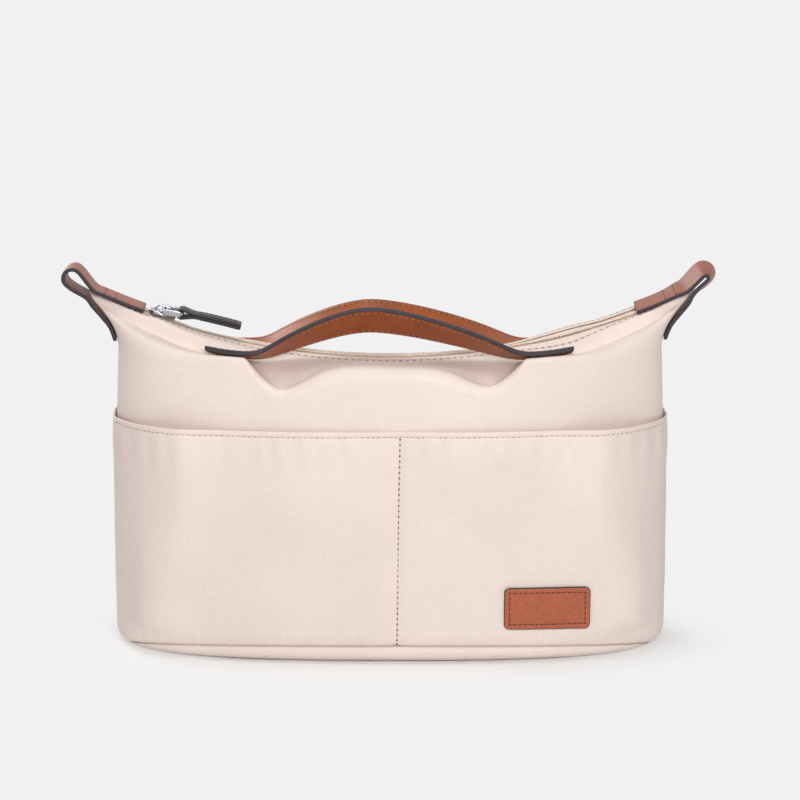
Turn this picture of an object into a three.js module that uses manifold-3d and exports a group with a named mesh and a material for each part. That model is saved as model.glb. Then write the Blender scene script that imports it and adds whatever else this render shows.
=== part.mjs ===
// Purse organizer insert: a soft zip-top pouch with slip pockets outside, leather handles,
// a leather loop at each end of the zip and a leather zip pull.
// Millimetres, +Z up, +Y to the rear. The origin is the middle of the underside.
import * as THREE from "three";
import { mergeVertices } from "three/addons/utils/BufferGeometryUtils.js";
import Module from "manifold-3d";

// Body shell
const BASE_WIDTH = 260;
const BASE_DEPTH = 92;
const SHOULDER_WIDTH = 257;
const SHOULDER_DEPTH = 86;
const SHOULDER_HEIGHT = 143;
const EAR_FOOT_RISE = 8; // of the side seams' upper ends above the shoulder
const SHOULDER_ROUNDING = 8;
const WALL_BULGE = 3.5; // how far the front and rear swell at mid height
const SIDE_BULGE = 1.2;
const PLAN_POWER = 2.6; // 2 is an ellipse, higher is squarer
const TOP_SAG = 3.2; // drop of the top edge between the handle ends
const REAR_DROP = 6.5; // the rear top edge hangs lower than the front one
const HOLLOW_DEPTH = 8; // of the front top edge beside each handle end
const HOLLOW_INSET = 11; // from a sewn handle end to the middle of that hollow
const HOLLOW_OUTER = 6; // its reach towards the handle end
const HOLLOW_INNER = 18; // its reach towards the middle
const HANDLE_LIFT = 2.6; // rise of the top edge where a handle end pulls it
const HANDLE_DIP = 5.6; // dip of the top behind a handle end
const VALLEY_LIMIT = 0.9; // furthest place of that dip on the way to the zip, as a share
const PANEL_THICKNESS = 0.9;
const LINING_THICKNESS = 0.6;
const LINING_TOP_SHARE = 0.99; // how far the lining runs over the top, up to the dip
const LINING_EAR_SHARE = 0.04; // the same at the ears, where the panels close on each other
const LINING_EAR_FROM = 0.6; // shares of the half width between which it draws back
const LINING_EAR_TO = 0.95;
const CLEARANCE = 0.4; // gap between pieces that lie on each other
const SEWN_GAP = 0.85; // gap under leather that is sewn on a curved panel

// Base
const BASE_THICKNESS = 1.2;
const BASE_RIM_HEIGHT = 8;
const BASE_EDGE_ROUNDING = 7;
const BOARD_THICKNESS = 1.5;

// Pockets
const POCKET_HEIGHT = 111.5;
const POCKET_THICKNESS = 0.9;
const POCKET_GAPE = 1.6; // extra gap at the mouth of each pocket
const POCKET_SEAM_REACH = 26; // how far the middle seam holds the pocket in
const INNER_POCKET_HEIGHT = 82;
const INNER_POCKET_WIDTH = 150;

// Zip: its line is an arc that dips in the middle
const ZIP_RADIUS = 338;
const ZIP_DROP = 5.3; // from the shoulder down to the lowest point of the zip's line
const EAR_REACH = 142; // from the middle to the tip of each ear
const SEAM_HALF_GAP = 6.2; // from the zip's line to the edge of each panel
const TAPE_HALF_WIDTH = 11;
const TAPE_THICKNESS = 0.8;
const TAPE_COVER = 1.8; // panel beyond the outer edge of the tape
const ZIP_HALF_SLOT = 0.8; // from the zip's line to each row of teeth
const COIL_WIDTH = 1.9;
const COIL_HEIGHT = 1.5;

// Slider and pull
const SLIDER_LENGTH = 13;
const SLIDER_WIDTH = 9;
const SLIDER_TAIL_WIDTH = 6.5;
const SLIDER_PLATE = 1.4;
const SLIDER_POST_LENGTH = 3.2;
const SLIDER_POST_WIDTH = 0.9;
const BRIDGE_LENGTH = 8.4;
const BRIDGE_WIDTH = 2;
const BRIDGE_BAR = 1.1;
const LINK_BAR = 1.5; // thickness of the pull link's bars
const LINK_REACH = 9;
const LINK_GAP = 0.5; // play of the link in the bridge and of the leather in the link
const PULL_LENGTH = 28; // leather, from the link's bar to the free end
const PULL_WIDTH = 8.6;
const PULL_LAYER = 1.6;
const PULL_RAISE = THREE.MathUtils.degToRad(9); // of the pull above the line of the zip
const SLIDER_REST_GAP = 1.3; // from an end loop to the slider when the zip is closed

// Handles
const HANDLE_SPAN = 120; // between the inner edges of the sewn ends
const HANDLE_END_LENGTH = 25;
const HANDLE_WIDTH = 18;
const HANDLE_LAYER = 1.15;
const HANDLE_GLUE = 0.3; // between the two leather layers
const HANDLE_SETBACK = 2; // of a sewn end behind the top edge
const HANDLE_RISE = 16.4; // of the middle of both handles above the front one's sewn ends
const HANDLE_INNER_GAP = 2.6; // from the middle plane to the inner edge of a handle
const HANDLE_TILT = THREE.MathUtils.degToRad(41);
const HANDLE_PEAK = -7; // of the highest point from the middle
const HANDLE_CURVE = 1.5; // power of the arch

// End loops
const TAB_WIDTH = 17;
const TAB_THICKNESS = 2;
const TAB_START = 116.5; // from the middle to the end of the upper leg
const TAB_LOWER_LEG = 27; // from the tip of the ear down the side
const TAB_LOOP_RADIUS = 4.7;
const TAB_LOOP_REACH = 10.5; // from the tip of the ear to the middle of the loop
const TAB_LOOP_AIM = THREE.MathUtils.degToRad(43); // the way the loop points, above level
const TAB_LOOP_WRAP = THREE.MathUtils.degToRad(82); // of the loop's round end, each way

// Label
const LABEL_WIDTH = 40;
const LABEL_HEIGHT = 20;
const LABEL_THICKNESS = 1.6;
const LABEL_CORNER = 2.5;
const LABEL_CENTRE_X = 73.4;
const LABEL_CENTRE_HEIGHT = 27;

// Mesh density
const COLUMNS = 36;
const WALL_ROWS = 5;
const CORNER_ROWS = 3;
const ROOF_ROWS = 2;
const ZIP_STEPS = 28;
const STRAP_STEPS = 24;
const END_STEPS = 5;
const INNER_POCKET_COLUMNS = 12;
const BASE_EDGE_STEPS = 2;
const TAB_STEPS = 40;
const LABEL_COLUMNS = 8;
const LABEL_CORNER_ROWS = 2;

const { lerp, smoothstep } = THREE.MathUtils;
const wasm = await Module();
wasm.setup();

// Closed surfaces

// A closed mesh from points and triangles, turned so that its faces point out.
function closedGeometry(points, triangles) {
  let volume = 0;
  const normal = new THREE.Vector3();
  for (const [a, b, c] of triangles) {
    volume += points[a].dot(normal.crossVectors(points[b], points[c]));
  }
  const facing = volume < 0 ? triangles.map(([a, b, c]) => [a, c, b]) : triangles;
  const geometry = new THREE.BufferGeometry().setFromPoints(points);
  geometry.setIndex(facing.flat());
  geometry.computeVertexNormals();
  return geometry;
}

// The solid between two grids of points, indexed by column and then by row.
function sheetGeometry(outer, inner) {
  const columns = outer.length;
  const rows = outer[0].length;
  const points = [...outer.flat(), ...inner.flat()];
  const at = (side, i, j) => side * columns * rows + i * rows + j;
  const triangles = [];
  const quad = (a, b, c, d) => triangles.push([a, b, c], [a, c, d]);
  for (let i = 0; i + 1 < columns; i++) {
    for (let j = 0; j + 1 < rows; j++) {
      quad(at(0, i, j), at(0, i + 1, j), at(0, i + 1, j + 1), at(0, i, j + 1));
      quad(at(1, i, j), at(1, i, j + 1), at(1, i + 1, j + 1), at(1, i + 1, j));
    }
    quad(at(0, i, 0), at(1, i, 0), at(1, i + 1, 0), at(0, i + 1, 0));
    quad(at(0, i, rows - 1), at(0, i + 1, rows - 1), at(1, i + 1, rows - 1), at(1, i, rows - 1));
  }
  for (let j = 0; j + 1 < rows; j++) {
    quad(at(0, 0, j), at(0, 0, j + 1), at(1, 0, j + 1), at(1, 0, j));
    const last = columns - 1;
    quad(at(0, last, j), at(1, last, j), at(1, last, j + 1), at(0, last, j + 1));
  }
  return closedGeometry(points, triangles);
}

// The solid through a row of closed sections, with a fan over each end.
function loftGeometry(sections) {
  const size = sections[0].length;
  const points = sections.flat();
  const triangles = [];
  for (let s = 0; s + 1 < sections.length; s++) {
    for (let k = 0; k < size; k++) {
      const a = s * size + k;
      const b = s * size + ((k + 1) % size);
      const short = points[a].distanceTo(points[b + size]) <= points[b].distanceTo(points[a + size]);
      if (short) triangles.push([a, b, b + size], [a, b + size, a + size]);
      else triangles.push([a, b, a + size], [b, b + size, a + size]);
    }
  }
  for (const [first, step] of [[0, 1], [(sections.length - 1) * size, -1]]) {
    const centre = new THREE.Vector3();
    for (let k = 0; k < size; k++) centre.addScaledVector(points[first + k], 1 / size);
    const hub = points.push(centre) - 1;
    for (let k = 0; k < size; k++) {
      const a = first + k;
      const b = first + ((k + 1) % size);
      triangles.push(step > 0 ? [hub, b, a] : [hub, a, b]);
    }
  }
  return closedGeometry(points, triangles);
}

// A copy on the other side of the plane through the origin that is square to the axis.
function mirrored(geometry, axis) {
  const flip = new THREE.Vector3(1, 1, 1);
  flip[axis] = -1;
  const position = geometry.getAttribute("position");
  const points = [];
  for (let i = 0; i < position.count; i++) {
    points.push(new THREE.Vector3().fromBufferAttribute(position, i).multiply(flip));
  }
  const index = geometry.index.array;
  const triangles = [];
  for (let i = 0; i < index.length; i += 3) triangles.push([...index.slice(i, i + 3)]);
  return closedGeometry(points, triangles);
}

function toSolid(geometry) {
  const bare = geometry.clone();
  bare.deleteAttribute("normal");
  if (bare.getAttribute("uv")) bare.deleteAttribute("uv");
  const merged = mergeVertices(bare, 1e-4);
  return new wasm.Manifold(new wasm.Mesh({
    numProp: 3,
    vertProperties: merged.getAttribute("position").array,
    triVerts: new Uint32Array(merged.index.array),
  }));
}

function joined(geometries) {
  const solid = geometries.map(toSolid).reduce((sum, piece) => sum.add(piece));
  const mesh = solid.getMesh();
  const geometry = new THREE.BufferGeometry();
  geometry.setAttribute("position", new THREE.BufferAttribute(mesh.vertProperties, 3));
  geometry.setIndex(new THREE.BufferAttribute(mesh.triVerts, 1));
  geometry.computeVertexNormals();
  return geometry;
}

// An outline in x and z, extruded along y about the middle plane.
function extrudedAcross(shape, width, curveSegments) {
  const geometry = new THREE.ExtrudeGeometry(shape, {
    depth: width, bevelEnabled: false, curveSegments,
  });
  return geometry.rotateX(Math.PI / 2).translate(0, width / 2, 0);
}

// Form of the body

const point = (x, y, z) => new THREE.Vector3(x, y, z);
const bell = (x, reach) => Math.exp(-((x / reach) ** 2));
const depthShare = (c) => (1 - Math.min(1, Math.abs(c)) ** PLAN_POWER) ** (1 / PLAN_POWER);

// Shares of the half width, from -1 to 1, at equal steps along the plan's curve.
function planShares(count) {
  const fine = 400;
  const shares = [];
  const lengths = [0];
  for (let i = 0; i <= fine; i++) {
    const angle = (Math.PI * i) / fine;
    const cosine = Math.cos(angle);
    shares.push(-Math.sign(cosine) * Math.abs(cosine) ** (2 / PLAN_POWER));
    if (i === 0) continue;
    const across = (shares[i] - shares[i - 1]) * SHOULDER_WIDTH;
    const back = (depthShare(shares[i]) - depthShare(shares[i - 1])) * SHOULDER_DEPTH;
    lengths.push(lengths[i - 1] + Math.hypot(across, back));
  }
  return Array.from({ length: count + 1 }, (_, k) => {
    const wanted = (lengths[fine] * k) / count;
    const i = Math.max(1, lengths.findIndex((length) => length >= wanted - 1e-9));
    const t = (wanted - lengths[i - 1]) / (lengths[i] - lengths[i - 1]);
    return lerp(shares[i - 1], shares[i], t);
  });
}

const SHARES = planShares(COLUMNS);
const SIDE_GAP = CLEARANCE / 2; // from the middle plane to the side seam of each panel
const ZIP_CENTRE_HEIGHT = SHOULDER_HEIGHT - ZIP_DROP + ZIP_RADIUS;
const PANEL_LIFT = PANEL_THICKNESS + CLEARANCE; // outside of a panel above the zip tape
const HANDLE_END_MIDDLE = HANDLE_SPAN / 2 + HANDLE_END_LENGTH / 2;
const HANDLE_OUTER = HANDLE_SPAN / 2 + HANDLE_END_LENGTH;
const EAR_START = TAB_START + CLEARANCE; // the panels close over the zip from here outwards
const SLIDER_START = TAB_START - SLIDER_REST_GAP - SLIDER_LENGTH / 2;

const zipHeight = (x) => ZIP_CENTRE_HEIGHT - Math.sqrt(ZIP_RADIUS ** 2 - x ** 2);
const earShare = (x) => smoothstep(Math.abs(x), EAR_START, EAR_REACH);
const seamGap = (x) => lerp(SEAM_HALF_GAP, SIDE_GAP + PANEL_THICKNESS, earShare(x));

// Half width of the tape, which is gathered towards the ears.
function tapeReach(x) {
  const taper = smoothstep(Math.abs(x), HANDLE_OUTER, EAR_REACH);
  return seamGap(x) + lerp(TAPE_HALF_WIDTH - SEAM_HALF_GAP, CLEARANCE, taper);
}

// What differs between the two sides: how far the top edge hangs, and its hollows.
const FRONT = { drop: 0, hollow: HOLLOW_DEPTH };
const REAR = { drop: REAR_DROP, hollow: 0 };

function shoulderHeight(x, side) {
  const outwards = smoothstep(Math.abs(x), HANDLE_OUTER, SHOULDER_WIDTH / 2);
  const pulled = bell(Math.abs(x) - HANDLE_END_MIDDLE, HANDLE_END_LENGTH);
  const aside = Math.abs(x) - (HANDLE_SPAN / 2 - HOLLOW_INSET);
  const hollow = side.hollow * bell(aside, aside > 0 ? HOLLOW_OUTER : HOLLOW_INNER);
  const level = lerp(SHOULDER_HEIGHT - side.drop, SHOULDER_HEIGHT + EAR_FOOT_RISE, outwards);
  return level + HANDLE_LIFT * pulled - TOP_SAG * bell(x, HANDLE_SPAN / 4) - hollow;
}

// The body is drawn as its front; the rear is mirrored. A point of the outer wall,
// for a share c of the half width.
function wallPoint(c, z) {
  const t = z / SHOULDER_HEIGHT;
  const swell = 4 * t * (1 - t);
  const halfWidth = lerp(BASE_WIDTH, SHOULDER_WIDTH, t) / 2 + SIDE_BULGE * swell;
  const halfDepth = lerp(BASE_DEPTH, SHOULDER_DEPTH, t) / 2 + WALL_BULGE * swell;
  return point(halfWidth * c, -SIDE_GAP - halfDepth * depthShare(c), z);
}

function wallNormal(c, z) {
  const step = 1e-3;
  const low = Math.max(-1, c - step);
  const high = Math.min(1, c + step);
  const along = wallPoint(high, z).sub(wallPoint(low, z));
  const up = wallPoint(c, z + 1).sub(wallPoint(c, z - 1));
  return along.cross(up).normalize();
}

// Points that carry the top of a panel at a share c of the half width:
// the shoulder, the lowest line behind a handle end, and the flat strip over the zip tape.
function topPoints(c, side) {
  const x = (SHOULDER_WIDTH / 2) * c;
  const stretch = smoothstep(Math.abs(x), HANDLE_OUTER, SHOULDER_WIDTH / 2);
  const zipX = x + Math.sign(c) * stretch * (EAR_REACH - SHOULDER_WIDTH / 2);
  const shoulder = point(x, -SIDE_GAP - (SHOULDER_DEPTH / 2) * depthShare(c), shoulderHeight(x, side));
  const stripHeight = zipHeight(zipX) + PANEL_LIFT;
  const strip = point(zipX, -tapeReach(zipX) - TAPE_COVER, stripHeight);
  const edge = point(zipX, -seamGap(zipX), stripHeight);
  const width = Math.max(1e-6, strip.y - shoulder.y);
  const share = Math.min(VALLEY_LIMIT, (HANDLE_SETBACK + HANDLE_WIDTH) / width);
  const valley = shoulder.clone().lerp(strip, share);
  valley.z -= HANDLE_DIP * bell(Math.abs(x) - HANDLE_END_MIDDLE, HANDLE_END_LENGTH);
  return { shoulder, valley, strip, edge };
}

// One column of a panel's outer face, from the bottom to the zip.
function panelColumn(c, bottom, side, share = 1) {
  const { shoulder, valley, strip, edge } = topPoints(c, side);
  const wallTop = wallPoint(c, shoulder.z - SHOULDER_ROUNDING);
  const roof = valley.clone().sub(shoulder);
  const reach = Math.min(SHOULDER_ROUNDING, roof.length() / 2);
  const roofStart = shoulder.clone().addScaledVector(roof.normalize(), reach);
  const column = [];
  for (let j = 0; j < WALL_ROWS; j++) {
    column.push(wallPoint(c, lerp(bottom, wallTop.z, j / WALL_ROWS)));
  }
  const corner = new THREE.QuadraticBezierCurve3(wallTop, shoulder, roofStart);
  column.push(...corner.getPoints(CORNER_ROWS));
  const end = roofStart.clone().lerp(valley, share);
  for (let j = 1; j <= ROOF_ROWS; j++) {
    column.push(roofStart.clone().lerp(end, j / ROOF_ROWS));
  }
  if (share < 1) return column;
  for (let j = 1; j <= ROOF_ROWS; j++) {
    column.push(valley.clone().lerp(strip, j / ROOF_ROWS));
  }
  column.push(edge);
  return column;
}

// The grid moved along its own normals, which point away from the body's inside.
function offsetGrid(grid, distance) {
  const columns = grid.length;
  const rows = grid[0].length;
  return grid.map((column, i) => column.map((p, j) => {
    const along = grid[Math.min(i + 1, columns - 1)][j].clone().sub(grid[Math.max(i - 1, 0)][j]);
    const up = column[Math.min(j + 1, rows - 1)].clone().sub(column[Math.max(j - 1, 0)]);
    const normal = along.cross(up);
    if (i === 0 || i === columns - 1) normal.y = 0; // a side seam lies in the middle plane
    return p.clone().addScaledVector(normal.normalize(), distance);
  }));
}

// Fabric shell

function bodyPanel(side) {
  const outer = SHARES.map((c) => panelColumn(c, BASE_RIM_HEIGHT + CLEARANCE, side));
  return sheetGeometry(outer, offsetGrid(outer, -PANEL_THICKNESS));
}

const BOARD_BOTTOM = BASE_THICKNESS + CLEARANCE;
const BASE_LINING_BOTTOM = BOARD_BOTTOM + BOARD_THICKNESS + CLEARANCE;
const LINING_BOTTOM = Math.max(BASE_RIM_HEIGHT, BASE_LINING_BOTTOM + LINING_THICKNESS) + CLEARANCE;
const LINING_DEPTH = PANEL_THICKNESS + CLEARANCE; // from the outside to the lining

function panelLining(side) {
  const share = (c) => lerp(
    LINING_TOP_SHARE, LINING_EAR_SHARE, smoothstep(Math.abs(c), LINING_EAR_FROM, LINING_EAR_TO));
  const form = SHARES.map((c) => panelColumn(c, LINING_BOTTOM, side, share(c)));
  return sheetGeometry(
    offsetGrid(form, -LINING_DEPTH),
    offsetGrid(form, -LINING_DEPTH - LINING_THICKNESS),
  );
}

// Gap between a panel and its pocket: held in at the seams, open at the mouth.
function pocketGap(c, z) {
  const mouth = smoothstep(z, POCKET_HEIGHT / 3, POCKET_HEIGHT);
  const free = 1 - bell((c * SHOULDER_WIDTH) / 2, POCKET_SEAM_REACH);
  return CLEARANCE + POCKET_GAPE * mouth * free * depthShare(c);
}

const pocketFace = (c, z, lift) =>
  wallPoint(c, z).addScaledVector(wallNormal(c, z), pocketGap(c, z) + lift);

function slipPocket() {
  const bottom = BASE_RIM_HEIGHT + CLEARANCE;
  const heights = Array.from({ length: WALL_ROWS + 1 }, (_, j) => (
    lerp(bottom, POCKET_HEIGHT, j / WALL_ROWS)));
  const face = (lift) => SHARES.map((c) => heights.map((z) => pocketFace(c, z, lift)));
  return sheetGeometry(face(POCKET_THICKNESS), face(0));
}

function innerSlipPocket() {
  const inner = -LINING_DEPTH - LINING_THICKNESS - CLEARANCE;
  const limit = INNER_POCKET_WIDTH / SHOULDER_WIDTH;
  const face = (lift) => Array.from({ length: INNER_POCKET_COLUMNS + 1 }, (_, i) => {
    const c = lerp(-limit, limit, i / INNER_POCKET_COLUMNS);
    return Array.from({ length: WALL_ROWS }, (_, j) => {
      const z = lerp(LINING_BOTTOM, INNER_POCKET_HEIGHT, j / (WALL_ROWS - 1));
      return wallPoint(c, z).addScaledVector(wallNormal(c, z), inner + lift);
    });
  });
  return sheetGeometry(face(0), face(-LINING_THICKNESS));
}

// The closed outline of the base, drawn in by an inset, at a height.
function baseLoop(inset, z) {
  const halfWidth = BASE_WIDTH / 2 - inset;
  const halfDepth = BASE_DEPTH / 2 + SIDE_GAP - inset;
  const half = (side) => SHARES.slice(0, -1).map((c) => (
    point(-side * halfWidth * c, side * halfDepth * depthShare(c), z)));
  return [...half(-1), ...half(1)];
}

function basePanel() {
  const edge = Array.from({ length: BASE_EDGE_STEPS + 1 }, (_, k) => {
    const angle = (Math.PI / 2) * (k / BASE_EDGE_STEPS);
    const inset = BASE_EDGE_ROUNDING * (1 - Math.sin(angle));
    return baseLoop(inset, BASE_EDGE_ROUNDING * (1 - Math.cos(angle)));
  });
  return loftGeometry([
    ...edge,
    baseLoop(0, BASE_RIM_HEIGHT),
    baseLoop(PANEL_THICKNESS, BASE_RIM_HEIGHT),
    baseLoop(PANEL_THICKNESS + BASE_EDGE_ROUNDING / 2, BASE_THICKNESS),
  ]);
}

// A flat sheet on the base, inside its rim.
function baseSheet(bottom, thickness) {
  const inset = PANEL_THICKNESS + BASE_EDGE_ROUNDING / 2 + CLEARANCE;
  return loftGeometry([baseLoop(inset, bottom), baseLoop(inset, bottom + thickness)]);
}

// Zip

function alongZip(halfLength, section) {
  return loftGeometry(Array.from({ length: ZIP_STEPS + 1 }, (_, i) => {
    const x = lerp(-halfLength, halfLength, i / ZIP_STEPS);
    return section(x).map(([y, height]) => point(x, -y, zipHeight(x) + height));
  }));
}

const zipTape = () => alongZip(EAR_REACH - 2 * PANEL_THICKNESS - CLEARANCE, (x) => [
  [ZIP_HALF_SLOT, 0], [tapeReach(x), 0],
  [tapeReach(x), -TAPE_THICKNESS], [ZIP_HALF_SLOT, -TAPE_THICKNESS],
]);

const COIL_BOTTOM = CLEARANCE;
const COIL_TOP = COIL_BOTTOM + COIL_HEIGHT;
const zipCoil = () => alongZip(TAB_START - CLEARANCE, () => [
  [ZIP_HALF_SLOT, COIL_BOTTOM], [ZIP_HALF_SLOT, COIL_TOP],
  [ZIP_HALF_SLOT + COIL_WIDTH, COIL_TOP], [ZIP_HALF_SLOT + COIL_WIDTH, COIL_BOTTOM],
]);

// Slider and pull, in a frame whose x runs along the zip and whose z is the height above it

const PLATE_BOTTOM = COIL_TOP + CLEARANCE;
const PLATE_TOP = PLATE_BOTTOM + SLIDER_PLATE;
const UNDER_TOP = -TAPE_THICKNESS - CLEARANCE;
const LINK_AXIS = PLATE_TOP + LINK_GAP + LINK_BAR / 2;
const BRIDGE_INSIDE = LINK_AXIS + LINK_BAR / 2 + LINK_GAP;

function rectangle(x0, z0, x1, z1) {
  return new THREE.Shape([
    new THREE.Vector2(x0, z0), new THREE.Vector2(x1, z0),
    new THREE.Vector2(x1, z1), new THREE.Vector2(x0, z1),
  ]);
}

// A slider plate: round at the closed end of the zip and narrower at the other.
function sliderPlate(bottom, top) {
  const half = SLIDER_LENGTH / 2;
  const narrow = SLIDER_TAIL_WIDTH / 2;
  const shape = new THREE.Shape();
  shape.moveTo(half, -narrow);
  shape.lineTo(half, narrow);
  shape.lineTo(0, SLIDER_WIDTH / 2);
  shape.quadraticCurveTo(-half, SLIDER_WIDTH / 2, -half, 0);
  shape.quadraticCurveTo(-half, -SLIDER_WIDTH / 2, 0, -SLIDER_WIDTH / 2);
  shape.closePath();
  const plate = new THREE.ExtrudeGeometry(shape, {
    depth: top - bottom, bevelEnabled: false, curveSegments: 6,
  });
  return plate.translate(0, 0, bottom);
}

function zipSlider() {
  const overlap = SLIDER_PLATE / 4;
  const half = BRIDGE_LENGTH / 2;
  const top = BRIDGE_INSIDE + BRIDGE_BAR;
  const bridge = new THREE.Shape();
  bridge.moveTo(-half, PLATE_TOP - overlap);
  bridge.lineTo(-half + BRIDGE_BAR, PLATE_TOP - overlap);
  bridge.lineTo(-half + BRIDGE_BAR, BRIDGE_INSIDE);
  bridge.lineTo(half - BRIDGE_BAR, BRIDGE_INSIDE);
  bridge.lineTo(half - BRIDGE_BAR, PLATE_TOP - overlap);
  bridge.lineTo(half, PLATE_TOP - overlap);
  bridge.lineTo(half, top - BRIDGE_BAR);
  bridge.quadraticCurveTo(half, top, half - BRIDGE_BAR, top);
  bridge.lineTo(-half + BRIDGE_BAR, top);
  bridge.quadraticCurveTo(-half, top, -half, top - BRIDGE_BAR);
  bridge.closePath();
  const postEnd = -SLIDER_LENGTH / 2 + SLIDER_POST_LENGTH + SLIDER_PLATE;
  const post = rectangle(
    postEnd - SLIDER_POST_LENGTH, UNDER_TOP - overlap, postEnd, PLATE_BOTTOM + overlap,
  );
  return joined([
    sliderPlate(PLATE_BOTTOM, PLATE_TOP),
    sliderPlate(UNDER_TOP - SLIDER_PLATE, UNDER_TOP),
    extrudedAcross(post, SLIDER_POST_WIDTH, 1),
    extrudedAcross(bridge, BRIDGE_WIDTH, 3),
  ]);
}

// The link turns on its first bar, under the slider's bridge, and holds the leather on its second.
const LINK_INSIDE = PULL_WIDTH + 2 * LINK_GAP;
function pullLink() {
  const bar = (x) => new THREE.CylinderGeometry(
    LINK_BAR / 2, LINK_BAR / 2, LINK_INSIDE + LINK_BAR, 10).translate(x, 0, 0);
  const arm = (side) => new THREE.BoxGeometry(LINK_REACH + LINK_BAR, LINK_BAR, LINK_BAR)
    .translate(LINK_REACH / 2, (side * (LINK_INSIDE + LINK_BAR)) / 2, 0);
  return joined([bar(0), bar(LINK_REACH), arm(1), arm(-1)]);
}

// A leather strip folded round the link's second bar, seen from the side.
function pullStrap() {
  const eye = LINK_BAR / 2 + LINK_GAP;
  const round = eye + PULL_LAYER;
  const end = LINK_REACH + PULL_LENGTH;
  const neck = LINK_REACH + 2 * round;
  const shape = new THREE.Shape();
  shape.absarc(LINK_REACH, 0, round, Math.PI / 2, (3 * Math.PI) / 2, false);
  shape.quadraticCurveTo(LINK_REACH + round, -round, neck, -PULL_LAYER);
  shape.lineTo(end, -PULL_LAYER);
  shape.lineTo(end, PULL_LAYER);
  shape.lineTo(neck, PULL_LAYER);
  shape.quadraticCurveTo(LINK_REACH + round, round, LINK_REACH, round);
  const hole = new THREE.Path();
  hole.absarc(LINK_REACH, 0, eye, 0, 2 * Math.PI, true);
  shape.holes.push(hole);
  return extrudedAcross(shape, PULL_WIDTH, 6);
}

// Handles: a face layer over a backing layer, with both ends sewn to the top of a panel

const HANDLE_THICKNESS = 2 * HANDLE_LAYER + HANDLE_GLUE;

// Where the strap's section lies at x: its middle and the tilt of its width, front edge high.
function sewnSection(x, panel) {
  const { shoulder, valley } = topPoints(x / (SHOULDER_WIDTH / 2), panel);
  const slope = valley.sub(shoulder).normalize();
  const up = point(0, -slope.z, slope.y);
  const middle = shoulder
    .addScaledVector(slope, HANDLE_SETBACK + HANDLE_WIDTH / 2)
    .addScaledVector(up, SEWN_GAP + HANDLE_THICKNESS / 2);
  return { middle, tilt: Math.atan2(-slope.z, slope.y) };
}

// Both handles rise to the same height.
function gripSection(x, panel) {
  const foot = Math.sign(x - HANDLE_PEAK || 1) * (HANDLE_SPAN / 2);
  const end = sewnSection(foot, panel);
  const arch = 1 - Math.abs((x - HANDLE_PEAK) / (foot - HANDLE_PEAK)) ** HANDLE_CURVE;
  const innerEdge = HANDLE_INNER_GAP + (HANDLE_WIDTH / 2) * Math.cos(HANDLE_TILT);
  const top = sewnSection(foot, FRONT).middle.z + HANDLE_RISE;
  return {
    middle: point(x, lerp(end.middle.y, -innerEdge, arch), lerp(end.middle.z, top, arch)),
    tilt: lerp(end.tilt, HANDLE_TILT, arch),
  };
}

// A strip of strap between two heights in its thickness, through sections square to x.
function strapGeometry(sectionAt, panel, from, to, steps, low, high) {
  return loftGeometry(Array.from({ length: steps + 1 }, (_, i) => {
    const { middle, tilt } = sectionAt(lerp(from, to, i / steps), panel);
    const across = point(0, Math.cos(tilt), -Math.sin(tilt));
    const up = point(0, Math.sin(tilt), Math.cos(tilt));
    const corner = (side, height) => middle.clone()
      .addScaledVector(across, (side * HANDLE_WIDTH) / 2).addScaledVector(up, height);
    return [corner(-1, low), corner(1, low), corner(1, high), corner(-1, high)];
  }));
}

const gripHalf = HANDLE_SPAN / 2 - CLEARANCE;
const gripFace = (panel) => strapGeometry(
  gripSection, panel, -gripHalf, gripHalf, STRAP_STEPS, HANDLE_GLUE / 2, HANDLE_THICKNESS / 2);
const gripBacking = (panel) => strapGeometry(
  gripSection, panel, -gripHalf, gripHalf, STRAP_STEPS, -HANDLE_THICKNESS / 2, -HANDLE_GLUE / 2);
const handleEnd = (panel) => strapGeometry(
  sewnSection, panel, HANDLE_SPAN / 2, HANDLE_SPAN / 2 + HANDLE_END_LENGTH, END_STEPS,
  -HANDLE_THICKNESS / 2, HANDLE_THICKNESS / 2);

// A handle turns about the front edge of its sewn ends.
function handleAxis(panel) {
  const { middle, tilt } = sewnSection(HANDLE_SPAN / 2, panel);
  return point(
    0,
    middle.y - (HANDLE_WIDTH / 2) * Math.cos(tilt),
    middle.z + (HANDLE_WIDTH / 2) * Math.sin(tilt),
  );
}

// End loops: a strap over the end of the zip, round the tip of the ear and down its side

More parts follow.
